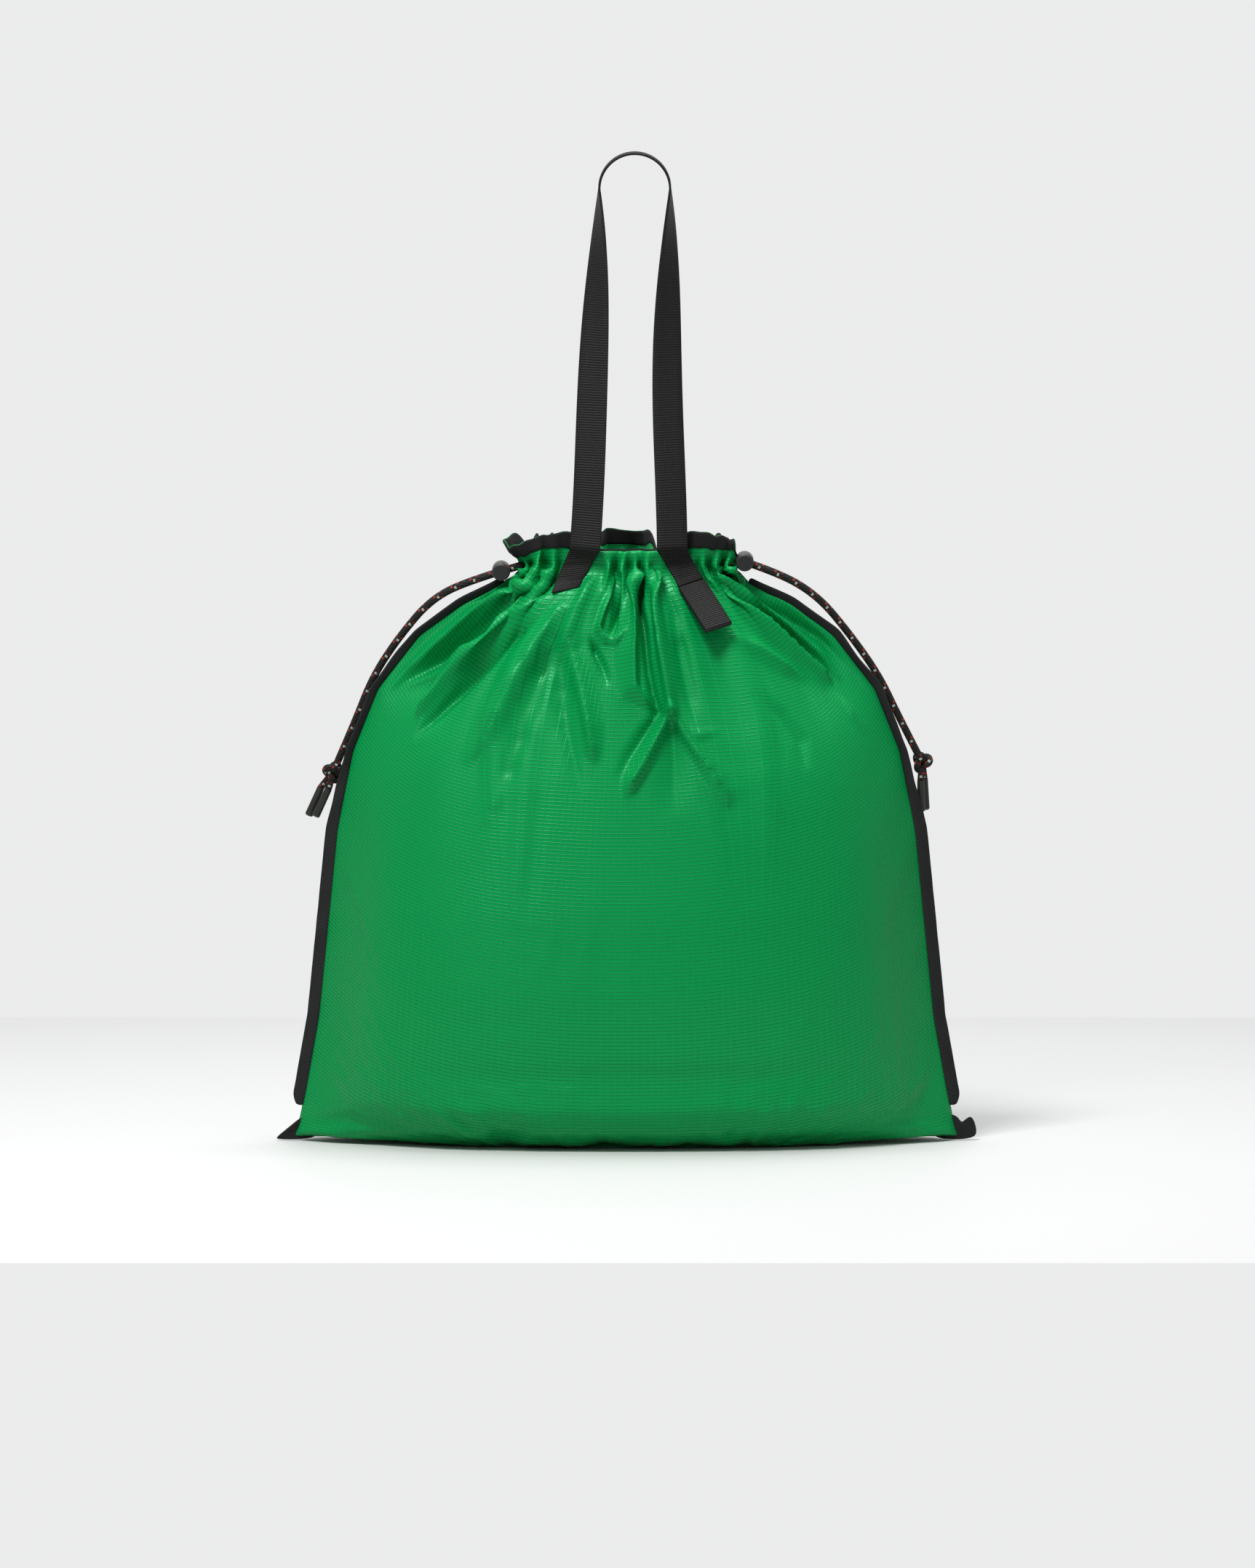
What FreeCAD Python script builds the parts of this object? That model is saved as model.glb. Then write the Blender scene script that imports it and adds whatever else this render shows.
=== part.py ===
import FreeCAD, Part
import math
import os
from FreeCAD import Placement, Rotation, Vector

# Drawstring storage bag with a webbing shoulder loop. Millimetres, +Z up, origin on the
# floor under the middle of the bag, front towards -Y, the wearer's right towards +X.

# The stuffed bag: height, half width at the side seams, half depth at the belly.
BAG_SECTIONS = (
    (0, 206, 58), (10, 210, 69), (35, 205, 81), (80, 197, 91), (140, 191, 94), (200, 185, 89),
    (250, 175, 79), (290, 159, 68), (325, 132, 54), (345, 104, 43), (355, 82, 33.5),
    (362, 68.5, 25), (367, 66.3, 22.3), (375, 66, 22), (384, 67, 22), (392, 71, 23),
)
SEAM_FULLNESS = 0.92      # how square the bag is in plan near its side seams
BELLY_FULLNESS = 1.32
RIM_Z = 390.0             # raw top edge of the cloth
WALL = 1.2                # cloth with its coating and seam folds

# Drawcord channel round the mouth.
CHANNEL_LOW = 365.0
CHANNEL_HIGH = 380.5
CHANNEL_GAP = 6.9
TAPE = 0.6
LAYER_GAP = 0.1           # between layers that are sewn face to face

# Bindings.
MOUTH_BINDING_HEIGHT = 9.0
MOUTH_BINDING_SKIN = 1.0
SIDE_BINDING_WIDTH = 7.5
SIDE_BINDING_THICKNESS = 2.0
SIDE_BINDING_TOP = 358.0
EAR_THICKNESS = 2.6

# Webbing.
WEBBING_WIDTH = 20.0
WEBBING_THICKNESS = 1.5
STRAP_TOP_Z = 634.0
STRAP_FOOT_Z = 381.0
STRAP_ARCH_X = 5.3
STRAP_ARCH_RADIUS = 22.5
STRAP_PLANE_Y = -26.5
STRAP_FOOT_TURN = 14.0    # degrees the webbing faces away from the front at its feet
STRAP_TWIST_FROM_Z = 440.0
TAB_THICKNESS = 3.2
TAB_GAP = 1.6

# Drawcord and what is on it.
CORD_DIAMETER = 4.6
STRAND_PITCH = 5.0        # between the two strands inside a cord lock
KNOT_RADIUS = 6.5
END_LENGTH = 20.0
END_TOP_RADIUS = 2.3
END_FOOT_RADIUS = 2.7

# Cord lock: a barrel across the strands with a sprung plunger.
LOCK_RADIUS = 5.8
LOCK_BORE = 4.5
LOCK_FRONT = -7.2
LOCK_REAR = 15.5
LOCK_FLOOR = 14.2
LOCK_SLOT_HEIGHT = 6.0
LOCK_SLOT_HALF = 5.6
PLUNGER_RADIUS = 4.2
PLUNGER_REAR = 7.2
PLUNGER_CAP_FRONT = -13.2
PLUNGER_CAP_REAR = -10.6
PLUNGER_CAP_RADIUS = 5.3
PRESS_TRAVEL = 3.0
SPRING_WIRE = 0.6
SPRING_TURNS = 5

# Where each side's cords leave the mouth, and the routes of the strands and ends:
# (x, z) of the pair, with the y of the front strand; the back strand is a pitch behind.
EXITS = {"left": (-66.5, 369.3), "right": (66.5, 374.3)}
ROUTES = {
    "left": ((-66.5, -2.5, 369.3), (-97.0, -2.1, 360.5), (-124.0, 2.0, 348.0),
             (-147.0, 4.6, 322.5), (-164.5, 4.6, 296.5), (-176.0, 4.8, 268.0), (-187.5, 6.1, 236.0)),
    "right": ((66.5, -2.5, 374.3), (96.0, -2.1, 365.0), (122.0, 2.0, 349.5),
              (144.5, 4.6, 325.5), (164.0, 4.6, 298.0), (178.5, 4.8, 270.5), (189.0, 6.1, 242.5)),
}
LOCK_CENTRE_X = {"left": -80.0, "right": 75.5}
KNOTS = {"left": (-187.5, 8.6, 236.0), "right": (189.0, 8.6, 242.5)}
# Top and foot of each moulded end, front one first.
ENDS = {
    "left": (((-190.4, 6.2, 225.4), (-199.0, 6.2, 207.4)),
             ((-195.4, 11.6, 225.8), (-203.4, 11.6, 207.4))),
    "right": (((188.2, 6.4, 230.6), (188.6, 6.6, 210.8)),
              ((190.6, 12.0, 231.2), (191.4, 12.2, 211.4))),
}
# How far round the front half of the channel each corner of a cord's line stands.
CHANNEL_SHARES = (0.06, 0.17, 0.33, 0.5, 0.67, 0.82, 0.92)

# Outlines seen from the front, (x, z), of the flat sewn pieces.
ANCHORS = {
    "left": ((-36.2, 380.0), (-17.0, 380.0), (-29.8, 357.6), (-47.6, 353.8)),
    "right": ((20.0, 380.0), (38.4, 380.0), (49.0, 361.8), (33.0, 357.4)),
}
TAB_OUTLINE = ((33.4, 356.9), (49.4, 361.3), (69.3, 336.0), (47.4, 331.0))
EARS = {
    "left": ((-196.0, 21.0), (-204.0, 18.0), (-212.0, 12.0), (-219.0, 6.0), (-225.0, 1.2),
             (-223.0, 0.0), (-208.0, 0.0), (-196.0, 2.0)),
    "right": ((196.0, 16.0), (209.0, 17.5), (213.0, 14.0), (215.0, 10.0), (221.0, 18.6),
              (225.0, 5.5), (223.0, 1.6), (214.0, 0.0), (206.0, 0.0), (196.0, 2.0)),
}


def section_wire(z, half_width, half_depth, back):
    """Front half of the bag in plan: one bellied edge, closed by straight edges at y = back."""
    reach = -half_depth * BELLY_FULLNESS
    side = half_width * SEAM_FULLNESS
    belly = Part.BezierCurve()
    belly.setPoles([Vector(-half_width, 0, z), Vector(-side, reach, z),
                    Vector(side, reach, z), Vector(half_width, 0, z)])
    corners = [Vector(half_width, 0, z), Vector(-half_width, 0, z)]
    if back > 0:
        corners[1:1] = [Vector(half_width, back, z), Vector(-half_width, back, z)]
    closing = [Part.LineSegment(a, b).toShape() for a, b in zip(corners, corners[1:])]
    return Part.Wire([belly.toShape()] + closing)


def front_solid(offset, back=0.0):
    """The front half of the whole bag, grown outwards by offset."""
    wires = [section_wire(z, w + offset, d + offset, back) for z, w, d in BAG_SECTIONS]
    return Part.makeLoft(wires, True, False)


def slab(low, high):
    return Part.makeBox(600, 400, high - low, Vector(-300, -200, low))


def front_shell(outer, inner, low, high):
    """A layer of the front half between two offsets and two heights."""
    layer = front_solid(outer).common(slab(low, high))
    return layer.cut(front_solid(inner, back=4.0).common(slab(low - 1, high + 1)))


def mirrored(shape):
    """The matching piece on the back of the bag."""
    return shape.mirror(Vector(0, 0, 0), Vector(0, 1, 0))


def prism(outline, y_low, y_high):
    """An outline seen from the front, stretched along Y."""
    points = [Vector(x, y_low, z) for x, z in outline]
    return Part.Face(Part.makePolygon(points + points[:1])).extrude(Vector(0, y_high - y_low, 0))


def size_at(z):
    """Half width and half depth of the bag at a height, straight between its sections."""
    for (z0, w0, d0), (z1, w1, d1) in zip(BAG_SECTIONS, BAG_SECTIONS[1:]):
        if z <= z1:
            share = (z - z0) / (z1 - z0)
            return w0 + (w1 - w0) * share, d0 + (d1 - d0) * share
    return BAG_SECTIONS[-1][1:]


def exit_cuts():
    """Holes in the side seams that the two pairs of strands come out of."""
    half = STRAND_PITCH / 2 + CORD_DIAMETER / 2 + 2.0
    height = CORD_DIAMETER + 1.2
    cuts = []
    for x, z in EXITS.values():
        cuts.append(Part.makeBox(14, 2 * half, height, Vector(x - 7, -half, z - height / 2)))
    return cuts[0].fuse(cuts[1])


def front_panel():
    outer = front_solid(0.0).common(slab(0, RIM_Z))
    hollow = front_solid(-WALL, back=4.0).common(slab(WALL, RIM_Z + 1))
    return outer.cut(hollow).cut(exit_cuts())


def channel_tape_front():
    inside = -WALL - CHANNEL_GAP
    tape = front_shell(-WALL - LAYER_GAP, inside - TAPE, CHANNEL_LOW, CHANNEL_HIGH)
    gap = front_shell(-WALL + 0.5, inside, CHANNEL_LOW + TAPE, CHANNEL_HIGH - TAPE)
    return tape.cut(gap).cut(exit_cuts())


def mouth_binding_front():
    low = RIM_Z - MOUTH_BINDING_HEIGHT
    high = RIM_Z + MOUTH_BINDING_SKIN
    fold = front_shell(MOUTH_BINDING_SKIN, -WALL - MOUTH_BINDING_SKIN, low, high)
    return fold.cut(front_shell(LAYER_GAP, -WALL - LAYER_GAP, low - 1, RIM_Z))


def side_binding(sign):
    """Folded tape round the seam allowance: a fin that follows the side seam."""
    heights = [20, 50, 90, 140, 190, 235, 270, 300, 325, 345, SIDE_BINDING_TOP]
    outer = []
    inner = []
    for z in heights:
        width = SIDE_BINDING_WIDTH if z < 340 else SIDE_BINDING_WIDTH * 0.75
        seam = size_at(z)[0]
        outer.append(Vector(sign * (seam + width), -SIDE_BINDING_THICKNESS / 2, z))
        inner.append(Vector(sign * (seam - 6), -SIDE_BINDING_THICKNESS / 2, z))
    edges = []
    for points in (outer, inner):
        curve = Part.BSplineCurve()
        curve.interpolate(points)
        edges.append(curve.toShape())
    edges.append(Part.makeLine(outer[0], inner[0]))
    edges.append(Part.makeLine(outer[-1], inner[-1]))
    face = Part.Face(Part.Wire(Part.__sortEdges__(edges)))
    fin = face.extrude(Vector(0, SIDE_BINDING_THICKNESS, 0))
    return without_bag(fin)


def without_bag(shape):
    front = front_solid(0.0)
    return shape.cut(front).cut(mirrored(front))


def corner_ear(side):
    ear = prism(EARS[side], -EAR_THICKNESS / 2, EAR_THICKNESS / 2)
    return without_bag(ear)


def strap_anchor(side):
    """The end of the webbing, sewn flat on the front panel below the mouth."""
    layer = front_shell(WEBBING_THICKNESS, LAYER_GAP, 340, 381)
    return prism(ANCHORS[side], -120, 0).common(layer)


def strap_stitching():
    """Rows of thread across each sewn end."""
    rows = []
    thread = 0.4
    low = WEBBING_THICKNESS + LAYER_GAP
    layer = front_shell(low + thread, low, 340, 381)
    for outline in ANCHORS.values():
        top_left, top_right, low_right, low_left = [Vector(x, 0, z) for x, z in outline]
        for share in (0.12, 0.3, 0.84):
            left = top_left + (low_left - top_left) * share
            right = top_right + (low_right - top_right) * share
            inset = (right - left) * 0.1
            drop = Vector(0, 0, -0.9)
            a, b = left + inset, right - inset
            row = prism([(p.x, p.z) for p in (a, b, b + drop, a + drop)], -120, 0)
            rows.append(row.common(layer))
    return Part.makeCompound([solid for row in rows for solid in row.Solids])


def pull_tab():
    """Doubled webbing that hangs free below the right end's last row of stitches."""
    layer = front_shell(TAB_GAP + TAB_THICKNESS, TAB_GAP, 325, 370)
    return prism(TAB_OUTLINE, -120, 0).common(layer)


def strap_centre(share):
    """Point, direction and turn of the webbing, from the left foot (0) over the top to the right (1)."""
    spring_z = STRAP_TOP_Z - STRAP_ARCH_RADIUS
    left = STRAP_ARCH_X - STRAP_ARCH_RADIUS
    right = STRAP_ARCH_X + STRAP_ARCH_RADIUS
    if 0.4 < share < 0.6:
        angle = math.pi * (1 - (share - 0.4) / 0.2)
        return (STRAP_ARCH_X + STRAP_ARCH_RADIUS * math.cos(angle),
                spring_z + STRAP_ARCH_RADIUS * math.sin(angle))
    rise = share / 0.4 if share <= 0.4 else (1 - share) / 0.4
    z = STRAP_FOOT_Z + (spring_z - STRAP_FOOT_Z) * rise
    sway = (1 - rise) ** 2
    if share <= 0.4:
        return left - 9.3 * sway, z
    return right + 1.4 * sway - 4.0 * math.sin(math.pi * rise) ** 2, z


def strap_section(share):
    """The webbing's cross-section: it twists from facing the front to edge-on at the top."""
    step = 0.002
    low = max(share - step, 0.0)
    high = min(share + step, 1.0)
    x, z = strap_centre(share)
    x0, z0 = strap_centre(low)
    x1, z1 = strap_centre(high)
    along = Vector(x1 - x0, 0, z1 - z0).normalize()
    spring_z = STRAP_TOP_Z - STRAP_ARCH_RADIUS
    climb = min(max((z - STRAP_TWIST_FROM_Z) / (spring_z - STRAP_TWIST_FROM_Z), 0.0), 1.0)
    turn = math.radians(STRAP_FOOT_TURN + (90.0 - STRAP_FOOT_TURN) * climb ** 2)
    facing = 1.0 if share < 0.5 else -1.0
    across = Vector(facing * math.cos(turn), -math.sin(turn), 0)
    across = (across - along * across.dot(along)).normalize()
    normal = across.cross(along)
    centre = Vector(x, STRAP_PLANE_Y, z)
    corners = [centre + across * (i * WEBBING_WIDTH / 2) + normal * (j * WEBBING_THICKNESS / 2)
               for i, j in ((-1, -1), (1, -1), (1, 1), (-1, 1))]
    return Part.makePolygon(corners + corners[:1])


def strap_loop():
    legs = [0.4 * i / 16 for i in range(17)]
    arch = [0.4 + 0.2 * i / 14 for i in range(1, 14)]
    shares = legs + arch + [1 - share for share in reversed(legs)]
    return Part.makeLoft([strap_section(share) for share in shares], True, True)


def cord_tube(points):
    """A round tube along straight runs joined by tangent arcs, with its length and radii."""
    knots = [Vector(*point) for point in points]
    runs = [b - a for a, b in zip(knots, knots[1:])]
    edges = []
    radii = []
    start = knots[0]
    for i in range(1, len(knots) - 1):
        before = Vector(runs[i - 1]).normalize()
        after = Vector(runs[i]).normalize()
        reach = 0.45 * min(runs[i - 1].Length, runs[i].Length)
        turn = before.getAngle(after)
        radii.append(reach / math.tan(turn / 2))
        enter = knots[i] - before * reach
        leave = knots[i] + after * reach
        bend = (after - before).normalize()
        middle = knots[i] + bend * (radii[-1] / math.cos(turn / 2) - radii[-1])
        edges.append(Part.LineSegment(start, enter).toShape())
        edges.append(Part.Arc(enter, middle, leave).toShape())
        start = leave
    edges.append(Part.LineSegment(start, knots[-1]).toShape())
    path = Part.Wire(edges)
    ring = Part.Wire(Part.makeCircle(CORD_DIAMETER / 2, knots[0], runs[0]))
    tube = path.makePipeShell([ring], True, True)
    return tube, path.Length, radii


def report_cord(name, tube, length, radii):
    """Prints what a tube measures, so that a bad sweep or a tight bend shows."""
    area = math.pi * CORD_DIAMETER ** 2 / 4
    print(f"{name}: length {length:.1f}, tightest radius {min(radii):.1f}, "
          f"volume over section x length {tube.Volume / (area * length):.4f}")


def channel_point(share, z):
    """A point on the middle of the channel's front half, from its left end (0) to its right (1)."""
    middle = WALL + CHANNEL_GAP / 2
    half_width, half_depth = size_at(z)
    rest = 1 - share
    along = share ** 3 - rest ** 3 + 3 * SEAM_FULLNESS * share * rest * (share - rest)
    deep = 3 * BELLY_FULLNESS * share * rest
    return (half_width - middle) * along, -(half_depth - middle) * deep, z


def channel_cord(side):
    """One drawcord inside the channel: in at its exit, once round the mouth, and out again."""
    x_exit, z_exit = EXITS[side]
    near = 1 if x_exit < 0 else -1
    front = [channel_point(share, z_exit) for share in CHANNEL_SHARES]
    loop = [(near * x, y, z) for x, y, z in front]
    tip = [(near * (size_at(z_exit)[0] - WALL - CHANNEL_GAP / 2 + 0.6), 0.0, z_exit)]
    back = [(x, -y, z) for x, y, z in reversed(loop)]
    ends = [(x_exit, y, z_exit) for y in (-STRAND_PITCH / 2, STRAND_PITCH / 2)]
    tube, length, radii = cord_tube(ends[:1] + loop + tip + back + ends[1:])
    report_cord("drawcord_%s_channel" % side, tube, length, radii)
    for place in ("front", "back"):
        tube = tube.cut(cord_tube(strand_route(side, place))[0])
    return tube


def strand_route(side, place):
    shift = 0.0 if place == "front" else STRAND_PITCH
    return [(x, y + shift, z) for x, y, z in ROUTES[side]]


def strand(side, place):
    """One of the two strands between the mouth and the knot."""
    tube, length, radii = cord_tube(strand_route(side, place))
    report_cord("drawcord_%s_%s" % (side, place), tube, length, radii)
    return tube.cut(knot(side))


def knot(side):
    """The two strands tied together in one overhand knot."""
    return Part.makeSphere(KNOT_RADIUS, Vector(*KNOTS[side]))


def moulded_end(top, foot):
    """A moulded cord end: a slim taper with a rounded foot."""
    top, foot = Vector(*top), Vector(*foot)
    axis = (foot - top).normalize()
    barrel = Part.makeCone(END_TOP_RADIUS, END_FOOT_RADIUS, END_LENGTH, top, axis)
    rims = [edge for edge in barrel.Edges if isinstance(edge.Curve, Part.Circle)]
    foot_rim = max(rims, key=lambda edge: edge.Curve.Radius)
    return barrel.makeFillet(1.4, [foot_rim])


def tails(side):
    """The short lengths of cord between the knot and the moulded ends."""
    centre = Vector(*KNOTS[side])
    pieces = []
    for top, foot in ENDS[side]:
        reach = Vector(*top) - centre
        start = centre + reach * ((KNOT_RADIUS + 0.5) / reach.Length)
        run = Vector(*top) - start
        tail = Part.makeCylinder(CORD_DIAMETER / 2 - 0.1, run.Length + 2, start, run)
        below = Part.makeCylinder(4 * CORD_DIAMETER, END_LENGTH, Vector(*top), Vector(*foot) - Vector(*top))
        pieces.append(tail.cut(below))
    return Part.makeCompound(pieces)


def lock_placement(side):
    """From the lock's own frame (cord along X, button towards -Y) to its place on the strands."""
    (x0, _, z0), (x1, _, z1) = ROUTES[side][:2]
    x = LOCK_CENTRE_X[side]
    slope = (z1 - z0) / (x1 - x0)
    angle = -math.degrees(math.atan(slope))
    return Placement(Vector(x, 0, z0 + slope * (x - x0)), Rotation(Vector(0, 1, 0), angle))


def along_y(radius, low, high):
    return Part.makeCylinder(radius, high - low, Vector(0, low, 0), Vector(0, 1, 0))


def strand_slot(low, high):
    """A round-ended slot across the barrel, long enough for both strands side by side."""
    r = LOCK_SLOT_HEIGHT / 2
    middle = Part.makeBox(40, high - low - 2 * r, 2 * r, Vector(-20, low + r, -r))
    ends = [Part.makeCylinder(r, 40, Vector(-20, y, 0), Vector(1, 0, 0)) for y in (low + r, high - r)]
    return middle.fuse(ends[0]).fuse(ends[1]).removeSplitter()


def lock_body(side):
    barrel = along_y(LOCK_RADIUS, LOCK_FRONT, LOCK_REAR)
    rims = [edge for edge in barrel.Edges if isinstance(edge.Curve, Part.Circle)]
    barrel = barrel.makeFillet(0.9, rims)
    body = barrel.cut(along_y(LOCK_BORE, LOCK_FRONT - 1, LOCK_FLOOR))
    body = body.cut(strand_slot(-LOCK_SLOT_HALF, LOCK_SLOT_HALF))
    body.Placement = lock_placement(side)
    return body


def lock_plunger(side):
    cap = along_y(PLUNGER_CAP_RADIUS, PLUNGER_CAP_FRONT, PLUNGER_CAP_REAR)
    front = min((edge for edge in cap.Edges if isinstance(edge.Curve, Part.Circle)),
                key=lambda edge: edge.Curve.Center.y)
    cap = cap.makeFillet(0.8, [front])
    stem = along_y(PLUNGER_RADIUS, PLUNGER_CAP_REAR, PLUNGER_REAR)
    slot = strand_slot(-LOCK_SLOT_HALF - PRESS_TRAVEL, LOCK_SLOT_HALF)
    plunger = cap.fuse(stem.cut(slot))
    plunger.Placement = lock_placement(side)
    return plunger


def lock_spring(side):
    gap = 0.1
    radius = LOCK_BORE - SPRING_WIRE / 2 - 0.5
    length = LOCK_FLOOR - PLUNGER_REAR - SPRING_WIRE - 2 * gap
    helix = Part.makeHelix(length / SPRING_TURNS, length, radius)
    ring = Part.Wire(Part.makeCircle(SPRING_WIRE / 2, Vector(radius, 0, 0), Vector(0, 1, 0)))
    coil = Part.Wire(helix.Edges).makePipeShell([ring], True, True)
    start = Placement(Vector(0, PLUNGER_REAR + gap + SPRING_WIRE / 2, 0), Rotation(Vector(1, 0, 0), -90))
    coil.Placement = lock_placement(side).multiply(start)
    return coil


def build():
    front = front_panel()
    tape = channel_tape_front()
    binding = mouth_binding_front()
    nodes = {
        "front_panel": front,
        "back_panel": mirrored(front),
        "channel_tape_front": tape,
        "channel_tape_back": mirrored(tape),
        "mouth_binding_front": binding,
        "mouth_binding_back": mirrored(binding),
        "strap_stitching": strap_stitching(),
        "strap_loop": strap_loop(),
        "pull_tab": pull_tab(),
    }
    for side, sign in (("left", -1), ("right", 1)):
        nodes["side_binding_" + side] = side_binding(sign)
        nodes["corner_ear_" + side] = corner_ear(side)
        nodes["strap_anchor_" + side] = strap_anchor(side)
        nodes["lock_body_" + side] = lock_body(side)
        nodes["lock_plunger_" + side] = lock_plunger(side)
        nodes["lock_spring_" + side] = lock_spring(side)
        nodes["drawcord_%s_channel" % side] = channel_cord(side)
        nodes["drawcord_%s_front" % side] = strand(side, "front")
        nodes["drawcord_%s_back" % side] = strand(side, "back")
        nodes["drawcord_%s_knot" % side] = knot(side)
        nodes["drawcord_%s_tails" % side] = tails(side)
        for place, (top, foot) in zip(("front", "back"), ENDS[side]):
            nodes["cord_end_%s_%s" % (side, place)] = moulded_end(top, foot)
    return nodes


os.makedirs("parts", exist_ok=True)
for name, shape in build().items():
    if not shape.isValid() or not shape.Solids:
        raise RuntimeError(name + " is not a valid solid")
    shape.exportStep("parts/" + name + ".step")
    print(f"{name}: {len(shape.Solids)} solid(s), {shape.Volume / 1000:.2f} cm3")
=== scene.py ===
import math

import bpy
import numpy as np
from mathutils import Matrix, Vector


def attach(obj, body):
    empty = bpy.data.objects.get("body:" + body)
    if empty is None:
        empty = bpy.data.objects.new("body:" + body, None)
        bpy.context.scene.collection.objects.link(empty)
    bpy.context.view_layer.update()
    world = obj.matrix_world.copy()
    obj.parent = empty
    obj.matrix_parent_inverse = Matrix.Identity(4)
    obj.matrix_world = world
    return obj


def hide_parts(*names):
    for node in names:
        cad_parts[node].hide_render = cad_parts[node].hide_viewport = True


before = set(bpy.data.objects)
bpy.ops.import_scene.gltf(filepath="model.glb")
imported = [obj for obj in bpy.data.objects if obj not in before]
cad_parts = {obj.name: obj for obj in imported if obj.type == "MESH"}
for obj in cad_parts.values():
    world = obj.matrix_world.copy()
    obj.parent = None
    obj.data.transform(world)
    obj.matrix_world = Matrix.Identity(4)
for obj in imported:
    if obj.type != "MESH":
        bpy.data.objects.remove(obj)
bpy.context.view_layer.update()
bpy.ops.object.select_all(action="DESELECT")


# The studio: a pale table with a straight back edge, an evenly lit pale wall far behind it,
# one soft light above in front on the left, one overhead a little behind, and a long lens.
VIEW_HEIGHT = 1.0025
VIEW_DISTANCE = 12.0
VIEW_TILT = math.radians(5.0)
TABLE_FRONT = -0.70
TABLE_BACK = 0.786
TABLE_WIDTH = 5.2
WALL_BEHIND = 16
WALL_SCALE = (30, 16, 1)

look_at = Vector((0.0007, 0.0, 0.2289))
back_off = Vector((0.0, -math.cos(VIEW_TILT), math.sin(VIEW_TILT)))
bpy.ops.object.camera_add(location=look_at + back_off * VIEW_DISTANCE)
camera = bpy.context.object
camera.name = "camera"
camera.rotation_euler = (-back_off).to_track_quat("-Z", "Y").to_euler()
camera.data.sensor_width = 36.0
camera.data.lens = 36.0 * VIEW_DISTANCE / VIEW_HEIGHT
camera.data.clip_start = 0.1
camera.data.clip_end = 60.0
bpy.context.scene.camera = camera

bpy.ops.mesh.primitive_plane_add(size=1, location=(0, (TABLE_FRONT + TABLE_BACK) / 2, 0))
table = bpy.context.object
table.name = "table"
table.scale = (TABLE_WIDTH, TABLE_BACK - TABLE_FRONT, 1)
bpy.ops.object.transform_apply(location=True, scale=True)


def new_material(name, colour, roughness):
    """A material with its shader, ready for the nodes of one finish."""
    material = bpy.data.materials.new(name)
    material.use_nodes = True
    shader = material.node_tree.nodes["Principled BSDF"]
    shader.inputs["Base Color"].default_value = (*colour, 1.0)
    shader.inputs["Roughness"].default_value = roughness
    return material, material.node_tree, shader


def node(tree, kind, **values):
    """A node with its settings, and its sockets by number as s0, s1 and so on."""
    made = tree.nodes.new(kind)
    for key, value in values.items():
        if key[0] == "s" and key[1:].isdigit():
            socket = made.inputs[int(key[1:])]
            if isinstance(value, bpy.types.NodeSocket):
                tree.links.new(value, socket)
            else:
                socket.default_value = value
        else:
            setattr(made, key, value)
    return made


def calc(tree, operation, *sockets):
    """One Math node's result."""
    values = {f"s{i}": value for i, value in enumerate(sockets)}
    return node(tree, "ShaderNodeMath", operation=operation, **values).outputs[0]


def noise(tree, scale, detail):
    """A fine unevenness that stays in its place on the piece."""
    place = node(tree, "ShaderNodeTexCoord").outputs["Object"]
    return node(tree, "ShaderNodeTexNoise", s0=place, s2=scale, s3=detail).outputs[0]


def relief(tree, shader, height, strength, depth):
    """Shows a height as relief in the surface."""
    bump = node(tree, "ShaderNodeBump", s0=strength, s1=depth)
    tree.links.new(height, bump.inputs["Height"])
    tree.links.new(bump.outputs[0], shader.inputs["Normal"])


paint, tree, shader = new_material("table_paint", (0.68, 0.68, 0.68), 0.62)
relief(tree, shader, noise(tree, 320.0, 3.0), 0.06, 0.0006)
table.data.materials.append(paint)

bpy.context.scene.view_settings.view_transform = "Standard"
world = bpy.data.worlds.new("wall")
bpy.context.scene.world = world
world.use_nodes = True
world.node_tree.nodes["Background"].inputs[0].default_value = (0.33, 0.332, 0.336, 1.0)
world.node_tree.nodes["Background"].inputs[1].default_value = 1.0

bpy.ops.mesh.primitive_plane_add(size=1, location=(0, WALL_BEHIND, 0.4),
                                 rotation=(math.pi / 2, 0, 0))
wall = bpy.context.object
wall.name = "wall"
wall.scale = WALL_SCALE
bpy.ops.object.transform_apply(location=True, rotation=True, scale=True)
wall_paint = bpy.data.materials.new("wall_paint")
wall_paint.use_nodes = True
tree = wall_paint.node_tree
glow = node(tree, "ShaderNodeEmission", s0=(0.832, 0.834, 0.838, 1.0), s1=1.0)
tree.links.new(glow.outputs[0], tree.nodes["Material Output"].inputs["Surface"])
wall.data.materials.append(wall_paint)
for name, spot, size, power in (
    ("key_light", (-0.50, -1.05, 2.1), 0.6, 42.0),
    ("top_light", (0.15, 0.30, 2.2), 0.9, 28.0),
):
    bpy.ops.object.light_add(type="AREA", location=spot)
    lamp = bpy.context.object
    lamp.name = name
    lamp.data.size = size
    lamp.data.energy = power
    lamp.rotation_euler = (Vector((0, 0, 0.25)) - Vector(spot)).to_track_quat("-Z", "Y").to_euler()


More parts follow.
